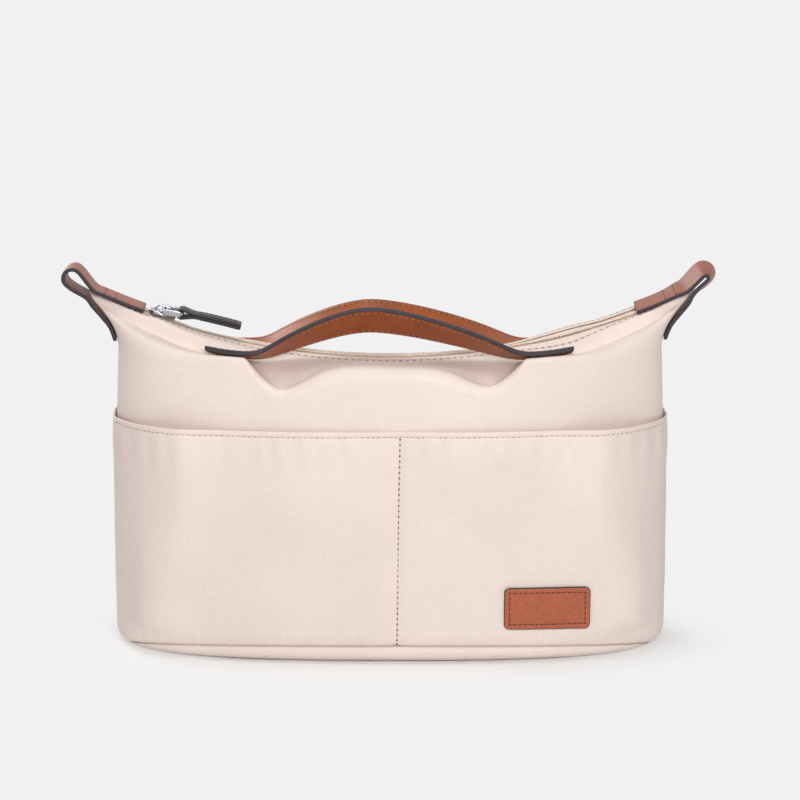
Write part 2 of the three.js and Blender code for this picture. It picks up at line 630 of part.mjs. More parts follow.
function endTab() {
  const steepest = Math.asin(EAR_REACH / ZIP_RADIUS);
  const lift = PANEL_LIFT + (SEWN_GAP + TAB_THICKNESS / 2) / Math.cos(steepest);
  const upper = (x) => point(x, 0, zipHeight(x) + lift);
  const side = new THREE.CatmullRomCurve3(
    panelColumn(1, 0, FRONT).slice(0, -1).map((p) => p.setY(0)), false, "centripetal");
  const lower = (t) => {
    const share = lerp(1 - TAB_LOWER_LEG / side.getLength(), 1, t);
    const along = side.getTangentAt(share);
    const distance = SEWN_GAP + TAB_THICKNESS / 2 + PANEL_THICKNESS * t;
    return side.getPointAt(share).addScaledVector(point(along.z, 0, -along.x), distance);
  };
  const tip = upper(EAR_REACH).lerp(lower(1), 0.5);
  const heading = (angle) => point(Math.cos(angle), 0, Math.sin(angle));
  const round = (angle) => tip.clone()
    .addScaledVector(heading(TAB_LOOP_AIM), TAB_LOOP_REACH)
    .addScaledVector(heading(TAB_LOOP_AIM + angle), TAB_LOOP_RADIUS);
  const legShares = [0, 0.25, 0.5, 0.75, 1];
  const knots = [
    ...legShares.map((t) => upper(lerp(TAB_START, EAR_REACH, t))),
    ...[1, 0.5, 0, -0.5, -1].map((share) => round(share * TAB_LOOP_WRAP)),
    ...legShares.map((t) => lower(1 - t)),
  ];
  const path = new THREE.CatmullRomCurve3(knots, false, "centripetal");
  const outline = (offset) => Array.from({ length: TAB_STEPS + 1 }, (_, i) => {
    const at = path.getPointAt(i / TAB_STEPS);
    const along = path.getTangentAt(i / TAB_STEPS);
    return new THREE.Vector2(at.x - along.z * offset, at.z + along.x * offset);
  });
  const shape = new THREE.Shape([
    ...outline(TAB_THICKNESS / 2), ...outline(-TAB_THICKNESS / 2).reverse(),
  ]);
  return extrudedAcross(shape, TAB_WIDTH, 1);
}

// Label: a bare leather patch with round corners on the front pocket

function labelPatch() {
  const heights = [-1, 1].flatMap((side) => {
    const corner = Array.from({ length: LABEL_CORNER_ROWS + 1 }, (_, k) => {
      const turn = Math.cos((Math.PI / 2) * (k / LABEL_CORNER_ROWS));
      return side * (LABEL_HEIGHT / 2 - LABEL_CORNER * (1 - turn));
    });
    return side < 0 ? corner : corner.reverse();
  });
  const halfAt = (v) => {
    const over = Math.max(0, Math.abs(v) - (LABEL_HEIGHT / 2 - LABEL_CORNER));
    return LABEL_WIDTH / 2 - LABEL_CORNER + Math.sqrt(Math.max(0, LABEL_CORNER ** 2 - over ** 2));
  };
  const face = (lift) => Array.from({ length: LABEL_COLUMNS + 1 }, (_, i) => heights.map((v) => {
    const z = LABEL_CENTRE_HEIGHT + v;
    const x = LABEL_CENTRE_X + lerp(-1, 1, i / LABEL_COLUMNS) * halfAt(v);
    return pocketFace(x / wallPoint(1, z).x, z, POCKET_THICKNESS + CLEARANCE + lift);
  }));
  return sheetGeometry(face(LABEL_THICKNESS), face(0));
}

// Materials

const finish = (color, roughness, metalness = 0) =>
  new THREE.MeshStandardMaterial({ color, roughness, metalness });
const FABRIC = finish(0xeddcd2, 0.6);
const LINING = finish(0xd9c8bc, 0.8);
const BOARD = finish(0xe4e2dc, 0.7);
const TAPE = finish(0xf2e0d0, 0.85);
const COIL = finish(0xefd9c4, 0.5);
const LEATHER = finish(0x9a5230, 0.5);
const PULL_LEATHER = finish(0x7d4327, 0.55);
const LABEL = finish(0xb7684d, 0.55);
const METAL = finish(0xcfcfd2, 0.25, 1);

// Assembly

function piece(name, geometry, material) {
  const mesh = new THREE.Mesh(geometry, material);
  mesh.name = name;
  return mesh;
}

const organizer = new THREE.Group();
organizer.name = "purse_organizer_insert";

const pocket = slipPocket();
const tape = zipTape();
const coil = zipCoil();
const tab = endTab();
const frontEnd = handleEnd(FRONT);
const rearEnd = mirrored(handleEnd(REAR), "y");

organizer.add(
  piece("front_panel", bodyPanel(FRONT), FABRIC),
  piece("rear_panel", mirrored(bodyPanel(REAR), "y"), FABRIC),
  piece("base_panel", basePanel(), FABRIC),
  piece("base_board", baseSheet(BOARD_BOTTOM, BOARD_THICKNESS), BOARD),
  piece("base_lining", baseSheet(BASE_LINING_BOTTOM, LINING_THICKNESS), LINING),
  piece("front_lining", panelLining(FRONT), LINING),
  piece("rear_lining", mirrored(panelLining(REAR), "y"), LINING),
  piece("inner_slip_pocket", mirrored(innerSlipPocket(), "y"), LINING),
  piece("front_pocket", pocket, FABRIC),
  piece("rear_pocket", mirrored(pocket, "y"), FABRIC),
  piece("label_patch", labelPatch(), LABEL),
  piece("zip_tape_front", tape, TAPE),
  piece("zip_tape_rear", mirrored(tape, "y"), TAPE),
  piece("zip_coil_front", coil, COIL),
  piece("zip_coil_rear", mirrored(coil, "y"), COIL),
  piece("right_end_tab", tab, LEATHER),
  piece("left_end_tab", tab.clone().rotateZ(Math.PI), LEATHER),
  piece("front_handle_right_end", frontEnd, LEATHER),
  piece("front_handle_left_end", mirrored(frontEnd, "x"), LEATHER),
  piece("rear_handle_left_end", mirrored(rearEnd, "x"), LEATHER),
  piece("rear_handle_right_end", rearEnd, LEATHER),
);

// Each handle's free part hangs in a group that stands on its hinge line.
for (const [name, panel] of [["front", FRONT], ["rear", REAR]]) {
  const axis = handleAxis(panel);
  const layers = [["face", gripFace(panel)], ["backing", gripBacking(panel)]];
  const pivot = new THREE.Group();
  pivot.name = `${name}_handle_pivot`;
  pivot.position.copy(axis);
  if (panel === REAR) pivot.position.y *= -1;
  for (const [layer, geometry] of layers) {
    geometry.translate(0, -axis.y, -axis.z);
    const placed = panel === REAR ? mirrored(geometry, "y") : geometry;
    pivot.add(piece(`${name}_handle_${layer}`, placed, LEATHER));
  }
  organizer.add(pivot);
}

// The slider swings about the middle of the zip's arc, and the pull about its link's first bar.
const sliderPivot = new THREE.Group();
sliderPivot.name = "slider_pivot";
sliderPivot.position.z = ZIP_CENTRE_HEIGHT;
sliderPivot.rotation.y = Math.asin(SLIDER_START / ZIP_RADIUS);
const pullPivot = new THREE.Group();
pullPivot.name = "pull_pivot";
pullPivot.position.z = LINK_AXIS - ZIP_RADIUS;
pullPivot.rotation.y = -PULL_RAISE;
pullPivot.add(
  piece("pull_link", pullLink(), METAL),
  piece("pull_strap", pullStrap(), PULL_LEATHER),
);
sliderPivot.add(piece("zip_slider", zipSlider().translate(0, 0, -ZIP_RADIUS), METAL), pullPivot);
organizer.add(sliderPivot);

export default organizer;
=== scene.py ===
import math

import bmesh
import bpy
import numpy as np
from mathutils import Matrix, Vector, noise


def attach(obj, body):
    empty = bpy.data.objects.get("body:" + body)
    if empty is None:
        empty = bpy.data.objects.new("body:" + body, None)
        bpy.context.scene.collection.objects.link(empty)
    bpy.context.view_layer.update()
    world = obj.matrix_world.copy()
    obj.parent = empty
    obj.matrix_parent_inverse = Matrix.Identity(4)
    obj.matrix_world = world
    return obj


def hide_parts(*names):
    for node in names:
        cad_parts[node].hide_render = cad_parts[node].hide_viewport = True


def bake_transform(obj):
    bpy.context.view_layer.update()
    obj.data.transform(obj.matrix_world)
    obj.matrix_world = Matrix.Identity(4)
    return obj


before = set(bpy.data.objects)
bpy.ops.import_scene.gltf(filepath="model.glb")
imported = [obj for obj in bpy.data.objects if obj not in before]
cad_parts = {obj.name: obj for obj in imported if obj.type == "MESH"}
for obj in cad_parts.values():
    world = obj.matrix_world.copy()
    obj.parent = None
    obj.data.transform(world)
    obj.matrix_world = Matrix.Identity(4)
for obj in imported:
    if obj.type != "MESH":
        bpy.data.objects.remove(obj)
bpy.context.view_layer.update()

MM = 0.001
TINY = 1e-9

# Body, as in the solids
BASE_WIDTH = 260
BASE_DEPTH = 92
SHOULDER_WIDTH = 257
SHOULDER_DEPTH = 86
SHOULDER_HEIGHT = 143
EAR_FOOT_RISE = 8
SHOULDER_ROUNDING = 8
WALL_BULGE = 3.5
SIDE_BULGE = 1.2
PLAN_POWER = 2.6
HANDLE_LIFT = 2.6
VALLEY_LIMIT = 0.9
PANEL_THICKNESS = 0.9
CLEARANCE = 0.4
BASE_RIM_HEIGHT = 8
BASE_EDGE_ROUNDING = 7
BASE_THICKNESS = 1.2
SEAM_HEIGHT = BASE_RIM_HEIGHT + CLEARANCE

# Pockets and label, as in the solids
POCKET_HEIGHT = 111.5
POCKET_THICKNESS = 0.9
POCKET_GAPE = 1.6
POCKET_SEAM_REACH = 26
LABEL_WIDTH = 40
LABEL_HEIGHT = 20
LABEL_THICKNESS = 1.6
LABEL_CORNER = 2.5
LABEL_CENTRE_X = 73.4
LABEL_CENTRE_HEIGHT = 27

# Zip, slider and pull, as in the solids
ZIP_RADIUS = 338
ZIP_DROP = 5.3
EAR_REACH = 142
SEAM_HALF_GAP = 6.2
TAPE_HALF_WIDTH = 11
TAPE_THICKNESS = 0.8
TAPE_COVER = 1.8
ZIP_HALF_SLOT = 0.8
COIL_HEIGHT = 1.5
SLIDER_LENGTH = 13
SLIDER_WIDTH = 9
SLIDER_TAIL_WIDTH = 6.5
SLIDER_PLATE = 1.4
SLIDER_POST_LENGTH = 3.2
SLIDER_POST_WIDTH = 0.9
SLIDER_REST_GAP = 1.3
BRIDGE_LENGTH = 8.4
BRIDGE_BAR = 1.1
LINK_BAR = 1.5
LINK_REACH = 9
LINK_GAP = 0.5
PULL_LENGTH = 28
PULL_WIDTH = 8.6
PULL_LAYER = 1.6
PULL_RAISE = math.radians(9)

# Handles and end loops, as in the solids
HANDLE_SPAN = 120
HANDLE_END_LENGTH = 25
HANDLE_WIDTH = 18
HANDLE_THICKNESS = 2.6
HANDLE_SETBACK = 2
TAB_WIDTH = 17
TAB_THICKNESS = 2
TAB_START = 116.5
TAB_LOWER_LEG = 27
TAB_LOOP_AIM = math.radians(43)

# Worked out from these
ZIP_CENTRE_HEIGHT = SHOULDER_HEIGHT - ZIP_DROP + ZIP_RADIUS
PANEL_LIFT = PANEL_THICKNESS + CLEARANCE
HALF_SPAN = HANDLE_SPAN / 2
HANDLE_OUTER = HALF_SPAN + HANDLE_END_LENGTH
HANDLE_END_MIDDLE = HALF_SPAN + HANDLE_END_LENGTH / 2
EAR_START = TAB_START + CLEARANCE
SLIDER_START = TAB_START - SLIDER_REST_GAP - SLIDER_LENGTH / 2
COIL_TOP = CLEARANCE + COIL_HEIGHT
PLATE_BOTTOM = COIL_TOP + CLEARANCE
PLATE_TOP = PLATE_BOTTOM + SLIDER_PLATE
UNDER_TOP = -TAPE_THICKNESS - CLEARANCE
LINK_AXIS = PLATE_TOP + LINK_GAP + LINK_BAR / 2

# The top of each side, as it hangs in the looks
FRONT = {
    "drop": 0.0,  # how low the top edge lies
    "sag": 1.0,  # of that edge in the middle
    "hollow": 13.2,  # depth beside the handle ends
    "fall": 5.8,  # of the cloth behind the sewn ends
    "rise": 13.8,  # of the handle
    "roll": -1,  # the way in which the zip's lean counts
    "ear": 68.0,  # how far out the edge begins to rise to the ears
}
REAR = {"drop": 8.0, "sag": 9.0, "hollow": 2.0, "fall": 3.5, "rise": 12.2, "roll": 1, "ear": 85.0}
HOLLOW_X = HALF_SPAN - 11.2  # middle of the hollow beside each handle end
HOLLOW_SHIFT = 1.8  # both lie a little to the left
HOLLOW_OUTER = 16.0
HOLLOW_FLANK = 1.5  # power of the outer flank
HOLLOW_INNER = 18.0
HOLLOW_RIGHT = 0.85  # the right one is shallower
HOLLOW_CREASE = 0.6  # how much sharper the top edge is there
SEWN_CREASE = 0.65  # and under the sewn ends of the handles
SEWN_CREASE_REACH = 0.8  # share of a sewn end's length
SEWN_REACH = 36.0  # how far to each side the cloth is drawn down there

# Gaps and layers that only the looks have
SHELL_THICKNESS = 1.9  # panel and lining together
SEWN_GAP = 0.4  # under leather that is sewn on
SIDE_GAP = 0.03  # the sides are sewn shut

# Handles in their lifted state, a little lower and steeper than the solids
HANDLE_INNER_GAP = 3.6
HANDLE_TILT = math.radians(47)
HANDLE_TWIST = 0.6  # power with which the tilt grows along the arch
HANDLE_PEAK = -10
HANDLE_CURVE = 1.5
HANDLE_SMOOTHING = 40
HANDLE_CURL = 0.8  # of the tips of the sewn ends

# End loops as they hang, a little shorter than the solids
TAB_LOOPS = {  # radius, distance from the ear's tip, and turn of the upper face to the front
    "left": (4.3, 8.4, 0.0),
    "right": (3.1, 7.2, math.radians(14)),
}
TAB_LOOP_WRAP = math.radians(74)
TAB_CUP = 0.9  # how far the lower leg's edges bend in to the cloth
TAB_STITCH_X = (129.5, 134.5)
TAB_STITCH_INSET = 1.6

# Zip as it lies in the looks
ZIP_LIFT = 0.3  # of its right part
ZIP_EASE = 10  # length over which a lift or a lean comes in
EAR_LIFT = 1.2  # of its right end
EAR_LIFT_START = TAB_START + 8
ROLL_RIGHT = 0.25  # slope of the zip across its width: its right part leans to the front
ROLL_LEFT = -0.1  # and its left part a little to the rear
TAB_LEAN = 0.4  # share of the right lean that is left under the end loop
STRIP_SINK = 2.5  # the cloth slopes away from the zip
EDGE_SINK = 0.8

# Softness that only the looks have
FOLD_DEPTH = 6.0  # of the cloth behind the top edge, in the hollows
FOLD_BACK = 8.0  # from the top edge to the deepest place
FOLD_WALL = 4.5
FOLD_ROOF = 8.0
FOLD_INNER = 11.0
FOLD_WAY = (0, 0.25, -0.97)
SEAM_FALL = 11.0  # of the base seam towards the corners
SEAM_LOWEST = 1.0
SEAM_EASE = 20.0  # height at which the pockets no longer follow it
WRINKLE = 0.75
WRINKLE_SIZE = 52
FINE_WRINKLE = 0.3  # share of the slow ones
FINE_WRINKLE_SIZE = 19
WRINKLE_FULL = 45  # height above which the walls are slack
HEM_STITCH_DROP = 2.5
HEM_RISE = 0.3
PUCKER = 0.7
RIDGE = 4.6  # soft ridges where the pockets turn to the sides
RIDGE_X = 97.0  # at the top
RIDGE_SPREAD = 12.0  # how much further out they are at the label's height
RIDGE_STRAIGHT = 80  # height above which they run straight up
RIDGE_INNER = 12.0
RIDGE_OUTER = 20.0
RIDGE_FADE = 112  # from here they fade to the side seams
RIDGE_RIGHT = 1.3
DIVIDER_X = 4.2
DIVIDER_LEAN = 0.015  # to the right, per height

# Fineness of the meshes
GRID_COLUMNS = 220
PLAN_SAMPLES = 2001
SPLINE_STEPS = 24
ROW_SAMPLES = 400  # along a hem or a seam


# Small mathematics

def lerp(a, b, t):
    return a + (b - a) * t


def smoothstep(x, low, high):
    t = np.clip((x - low) / (high - low), 0, 1)
    return t * t * (3 - 2 * t)


def bell(x, reach):
    return np.exp(-((x / reach) ** 2))


def unit(v):
    return v / np.maximum(np.linalg.norm(v, axis=-1, keepdims=True), TINY)


def vec(x, y, z):
    return np.stack(np.broadcast_arrays(x, y, z), axis=-1).astype(float)


def soft_noise(points, size, seed):
    """Smooth noise from -1 to 1 over points in millimetres, with features of the given size."""
    shift = Vector((seed * 17.3, seed * 5.1, seed * 9.7))
    values = [noise.noise(Vector(p) / size + shift) for p in points.reshape(-1, 3)]
    return np.array(values).reshape(points.shape[:-1])


def length_along(points):
    steps = np.linalg.norm(np.diff(points, axis=0), axis=1)
    return np.concatenate([[0], np.cumsum(steps)])


def length_share(points):
    lengths = length_along(points)
    return lengths / lengths[-1]


def sampled(values, lengths, wanted):
    """Values of a path at the wanted lengths along it."""
    return np.stack([np.interp(wanted, lengths, column) for column in values.T], axis=-1)


def resampled(points, count):
    return sampled(points, length_share(points), np.linspace(0, 1, count))


def spline(knots, count):
    """Points at equal steps along a centripetal curve through the knots."""
    knots = np.asarray(knots, float)
    run = np.vstack([2 * knots[0] - knots[1], knots, 2 * knots[-1] - knots[-2]])
    fine = []
    for a, b, c, d in zip(run, run[1:], run[2:], run[3:]):
        t0 = 0.0
        t1 = t0 + np.linalg.norm(b - a) ** 0.5
        t2 = t1 + np.linalg.norm(c - b) ** 0.5
        t3 = t2 + np.linalg.norm(d - c) ** 0.5
        t = np.linspace(t1, t2, SPLINE_STEPS, endpoint=False)[:, None]
        ab = ((t1 - t) * a + (t - t0) * b) / (t1 - t0)
        bc = ((t2 - t) * b + (t - t1) * c) / (t2 - t1)
        cd = ((t3 - t) * c + (t - t2) * d) / (t3 - t2)
        abc = ((t2 - t) * ab + (t - t0) * bc) / (t2 - t0)
        bcd = ((t3 - t) * bc + (t - t1) * cd) / (t3 - t1)
        fine.append(((t2 - t) * abc + (t - t1) * bcd) / (t2 - t1))
    return resampled(np.vstack([*fine, knots[-1:]]), count)


def arc(centre_x, centre_y, radius, start, steps):
    """Points of a quarter circle in a plane, from a starting angle in degrees."""
    angles = np.radians([start + 90 / steps * k for k in range(steps + 1)])
    return [(centre_x + radius * math.cos(a), centre_y + radius * math.sin(a)) for a in angles]


def rounded(distance, radius):
    """Share of the full thickness at a distance from a rounded edge."""
    inside = 1 - np.clip(distance / radius, 0, 1)
    return np.sqrt(np.maximum(0.03, 1 - inside ** 2))


# Form of the body: the walls as in the solids, the top as it hangs in the looks

def depth_share(c):
    return (1 - np.minimum(1, np.abs(c)) ** PLAN_POWER) ** (1 / PLAN_POWER)


def zip_height(x):
    """The zip's arc; in the looks its right end stands a little higher."""
    x = np.asarray(x, float)
    lift = ZIP_LIFT * smoothstep(x, HANDLE_OUTER - ZIP_EASE, HANDLE_OUTER + ZIP_EASE)
    lift = lift + EAR_LIFT * smoothstep(x, EAR_LIFT_START, EAR_REACH)
    return ZIP_CENTRE_HEIGHT - np.sqrt(ZIP_RADIUS ** 2 - x ** 2) + lift


def zip_roll(x):
    """Slope of the zip across its width, up to the rear."""
    left = smoothstep(-x, HALF_SPAN, HANDLE_OUTER) * (1 - smoothstep(-x, SLIDER_START, TAB_START))
    eased = lerp(1, TAB_LEAN, smoothstep(x, HANDLE_OUTER, SLIDER_START - SLIDER_LENGTH / 2))
    return ROLL_RIGHT * smoothstep(x, HALF_SPAN - ZIP_EASE, HANDLE_OUTER) * eased + ROLL_LEFT * left


def seam_gap(x):
    return lerp(SEAM_HALF_GAP, SIDE_GAP + PANEL_THICKNESS, smoothstep(np.abs(x), EAR_START, EAR_REACH))


def tape_reach(x):
    taper = smoothstep(np.abs(x), HANDLE_OUTER, EAR_REACH)
    return seam_gap(x) + lerp(TAPE_HALF_WIDTH - SEAM_HALF_GAP, CLEARANCE, taper)


def hollow_share(x, inner=HOLLOW_INNER):
    """Form of the hollows along the top edge: a straight flank outside, a soft one inside."""
    aside = np.abs(x + HOLLOW_SHIFT) - HOLLOW_X
    outside = 1 - np.clip(aside / HOLLOW_OUTER, 0, 1) ** HOLLOW_FLANK
    share = np.where(aside > 0, outside, bell(aside, inner))
    return share * np.where(x > 0, HOLLOW_RIGHT, 1.0)


def zip_slope(x):
    """1 where the cloth slopes away from the zip, 0 under the end loops."""
    return 1 - smoothstep(np.abs(x), HANDLE_OUTER, TAB_START)


def shoulder_height(x, side):
    outwards = smoothstep(np.abs(x), side["ear"], SHOULDER_WIDTH / 2)
    pulled = bell(np.abs(x) - HANDLE_END_MIDDLE, HANDLE_END_LENGTH)
    hollow = side["hollow"] * hollow_share(x)
    level = lerp(SHOULDER_HEIGHT - side["drop"], SHOULDER_HEIGHT + EAR_FOOT_RISE, outwards)
    return level + HANDLE_LIFT * pulled - side["sag"] * bell(x, HANDLE_SPAN / 4) - hollow


def edge_inset(z):
    """How far the rounded lower edge of the body lies inwards at a height."""
    below = np.clip(1 - np.asarray(z, float) / BASE_EDGE_ROUNDING, 0, 1)
    return BASE_EDGE_ROUNDING * (1 - np.sqrt(1 - below ** 2))


def seam_height(c):
    """Height of the base seam, which falls towards the corners."""
    return np.maximum(SEAM_LOWEST, SEAM_HEIGHT - SEAM_FALL * (1 - depth_share(c)))


def wall_point(c, z):
    t = z / SHOULDER_HEIGHT
    swell = 4 * t * (1 - t)
    inset = edge_inset(z)
    half_width = lerp(BASE_WIDTH, SHOULDER_WIDTH, t) / 2 + SIDE_BULGE * swell - inset
    half_depth = lerp(BASE_DEPTH, SHOULDER_DEPTH, t) / 2 + WALL_BULGE * swell - inset
    return vec(half_width * c, -SIDE_GAP - half_depth * depth_share(c), z)


def top_points(c, side):
    """Lines of the top at shares of the half width: shoulder, valley behind it, zip strip and edge."""
    c = np.asarray(c, float)
    x = SHOULDER_WIDTH / 2 * c
    stretch = smoothstep(np.abs(x), HANDLE_OUTER, SHOULDER_WIDTH / 2)
    zip_x = x + np.sign(c) * stretch * (EAR_REACH - SHOULDER_WIDTH / 2)
    shoulder = vec(x, -SIDE_GAP - SHOULDER_DEPTH / 2 * depth_share(c), shoulder_height(x, side))
    level = zip_height(zip_x) + PANEL_LIFT
    strip = vec(zip_x, -tape_reach(zip_x) - TAPE_COVER, level - STRIP_SINK * zip_slope(zip_x))
    edge = vec(zip_x, -seam_gap(zip_x), level - EDGE_SINK * zip_slope(zip_x))
    for line in (strip, edge):
        line[..., 2] -= side["roll"] * zip_roll(zip_x) * line[..., 1]
    width = np.maximum(TINY, strip[..., 1] - shoulder[..., 1])
    share = np.minimum(VALLEY_LIMIT, (HANDLE_SETBACK + HANDLE_WIDTH) / width)
    valley = lerp(shoulder, strip, share[..., None])
    drawn = shoulder_height(x, {**side, "hollow": 0.0}) - side["fall"]
    valley[..., 2] = lerp(valley[..., 2], drawn, bell(np.abs(x) - HANDLE_END_MIDDLE, SEWN_REACH))
    return shoulder, valley, strip, edge


def plan_shares(count):
    """Shares of the half width, from -1 to 1, at equal steps along the plan's curve."""
    angle = np.linspace(0, math.pi, PLAN_SAMPLES)
    shares = -np.sign(np.cos(angle)) * np.abs(np.cos(angle)) ** (2 / PLAN_POWER)
    outline = vec(shares * SHOULDER_WIDTH / 2, depth_share(shares) * SHOULDER_DEPTH / 2, 0)
    return np.interp(np.linspace(0, 1, count + 1), length_share(outline), shares)


SHARES = plan_shares(GRID_COLUMNS)


# Meshes

MIRROR = np.array([1, -1, 1])  # from the front to the rear


def mirrored(points, mirror):
    return points * MIRROR if mirror else points


def new_object(name, points, faces, materials, face_slots=None, uvs=None):
    """A mesh object from points in millimetres; uvs are per point, in metres."""
    mesh = bpy.data.meshes.new(name)
    mesh.from_pydata((np.asarray(points) * MM).tolist(), [], [list(map(int, f)) for f in faces])
    for material in materials:
        mesh.materials.append(material)
    if face_slots is not None:
        mesh.polygons.foreach_set("material_index", np.asarray(face_slots, np.int32))
    if uvs is not None:
        corner = np.empty(len(mesh.loops), np.int32)
        mesh.loops.foreach_get("vertex_index", corner)
        layer = mesh.uv_layers.new(name="weave")
        layer.data.foreach_set("uv", np.asarray(uvs, np.float32)[corner].ravel())
    form = bmesh.new()
    form.from_mesh(mesh)
    bmesh.ops.recalc_face_normals(form, faces=form.faces)
    form.to_mesh(mesh)
    form.free()
    mesh.polygons.foreach_set("use_smooth", np.full(len(mesh.polygons), True))
    return linked(name, mesh)


def linked(name, data):
    obj = bpy.data.objects.new(name, data)
    bpy.context.scene.collection.objects.link(obj)
    return obj


def dress(obj, body, slot, *nodes):
    """Puts a piece on its body and hides the nodes that it stands for; the slot is not used."""
    if body:
        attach(obj, body)
    if nodes:
        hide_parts(*nodes)
    return obj


def grid_normals(points):
    """Outward normals of a front grid; the first and last columns are side seams."""
    along = np.gradient(points, axis=0)
    up = np.gradient(points, axis=1)
    normals = np.cross(along, up)
    normals[[0, -1], :, 1] = 0
    return unit(normals)


def grid_runs(points, axis):
    """Lengths along the columns or rows of a grid."""
    first = np.take(points, [0], axis)
    return np.cumsum(np.linalg.norm(np.diff(points, axis=axis, prepend=first), axis=2), axis=axis)


def sheet_object(name, outer, inner, materials, mirror=False, border=0):
    """A closed cloth between two grids of columns and rows: outer face, inner face and rim.
    The border is how many rows of the outer face belong to the rim."""
    columns, rows = outer.shape[:2]
    count = columns * rows
    index = np.arange(count).reshape(columns, rows)
    quads = np.stack(
        [index[:-1, :-1], index[1:, :-1], index[1:, 1:], index[:-1, 1:]], axis=-1).reshape(-1, 4)
    loop = np.concatenate([index[:, 0], index[-1, 1:], index[-2::-1, -1], index[0, -2:0:-1]])
    after = np.roll(loop, -1)
    rim = np.stack([loop, after, after + count, loop + count], axis=1)
    faces = np.concatenate([quads, quads[:, ::-1] + count, rim])
    face_slots = np.zeros((columns - 1, rows - 1))
    if border:
        face_slots[:] = 2
        face_slots[border:-border, border:-border] = 0
    slots = np.concatenate([face_slots.ravel(), np.full(len(quads), 1), np.full(len(rim), 2)])
    across = np.repeat(grid_runs(outer, 0)[:, rows // 2], rows).reshape(columns, rows)
    uvs = np.stack([across, grid_runs(outer, 1)], axis=-1).reshape(-1, 2) * MM
    points = np.concatenate([outer.reshape(-1, 3), inner.reshape(-1, 3)])
    return new_object(name, mirrored(points, mirror), faces, materials, slots, np.concatenate([uvs, uvs]))


def cloth_object(name, cloth, depth, share, materials, mirror):
    """A cloth of some depth under its outer grid, thinned by a share along each row."""
    half = (depth / 2)[None, :, None] * cloth.normals
    middle = cloth.points - half
    thinned = half * share[None, :, None]
    return sheet_object(name, middle + thinned, middle - thinned, materials, mirror)


class Cloth:
    """A front grid over shares of the half width and row values, to place things on."""

    def __init__(self, shares, rows, points):
        self.shares = shares
        self.rows = rows
        self.points = points
        self.normals = grid_normals(points)

    def at(self, share, row):
        i = np.interp(share, self.shares, np.arange(len(self.shares)))
        j = np.interp(row, self.rows, np.arange(len(self.rows)))
        i, j = np.broadcast_arrays(i, j)
        i0 = np.minimum(i.astype(int), len(self.shares) - 2)
        j0 = np.minimum(j.astype(int), len(self.rows) - 2)
        s = (i - i0)[..., None]
        t = (j - j0)[..., None]

        def blended(grid):
            low = lerp(grid[i0, j0], grid[i0 + 1, j0], s)
            high = lerp(grid[i0, j0 + 1], grid[i0 + 1, j0 + 1], s)
            return lerp(low, high, t)

        return blended(self.points), unit(blended(self.normals))


def loft_faces(rows, size, closed=False):
    """Faces between rings of points, with both end faces unless the loft closes on itself."""
    faces = []
    for s in range(rows if closed else rows - 1):
        n = (s + 1) % rows
        for k in range(size):
            m = (k + 1) % size
            faces.append((s * size + k, s * size + m, n * size + m, n * size + k))
    if not closed:
        faces.append(tuple(range(size)))
        faces.append(tuple((rows - 1) * size + k for k in range(size)))
    return faces


# Stitches and teeth

THREAD_STEP = 2.6
THREAD_WIDTH = 0.6
THREAD_SHARE = 0.72  # of a step that the thread covers
THREAD_HEIGHT = 0.42
THREAD_SEAT = 0.02  # of a thread above the cloth, and of the dark bead of painted shade for a needle hole in it
# Size of the dark beads of painted shade at the needle holes
PAINTED_HOLE_SHADE_LENGTH = 1.7  # widths of the thread
PAINTED_HOLE_SHADE_WIDTH = 1.6
PAINTED_HOLE_SHADE_HEIGHT = 0.3


def ball(rings, segments):
    """Points and faces of a unit ball with its poles on x."""
    points = [(-1, 0, 0)]
    for k in range(1, rings):
        angle = math.pi * k / rings
        for s in range(segments):
            turn = 2 * math.pi * s / segments
            points.append((-math.cos(angle), math.sin(angle) * math.cos(turn),
                           math.sin(angle) * math.sin(turn)))
    points.append((1, 0, 0))
    faces = []
    last = len(points) - 1
    for s in range(segments):
        t = (s + 1) % segments
        faces.append((0, 1 + t, 1 + s))
        for k in range(rings - 2):
            a = 1 + k * segments
            faces.append((a + s, a + t, a + segments + t, a + segments + s))
        a = 1 + (rings - 2) * segments
        faces.append((a + s, a + t, last))
    return np.array(points), faces


def beads(at, along, normal, size, rings, segments):
    """Points and faces of stretched balls of size (length, width, height) at many places."""
    form, faces = ball(rings, segments)
    form = form * np.array(size) / 2
    side = unit(np.cross(normal, along))
    points = (at[:, None] + form[None, :, :1] * along[:, None] + form[None, :, 1:2] * side[:, None]
              + form[None, :, 2:] * normal[:, None])
    shifted = [tuple(v + k * len(form) for v in f) for k in range(len(at)) for f in faces]
    return points.reshape(-1, 3), shifted


def spaced(points, normals, step):
    """Places at equal steps along a path: points, directions and normals."""
    lengths = length_along(points)
    count = max(2, int(round(lengths[-1] / step)))
    wanted = np.linspace(0, lengths[-1], count + 1)
    at = sampled(points, lengths, wanted)
    return at, unit(np.gradient(at, axis=0)), unit(sampled(normals, lengths, wanted))


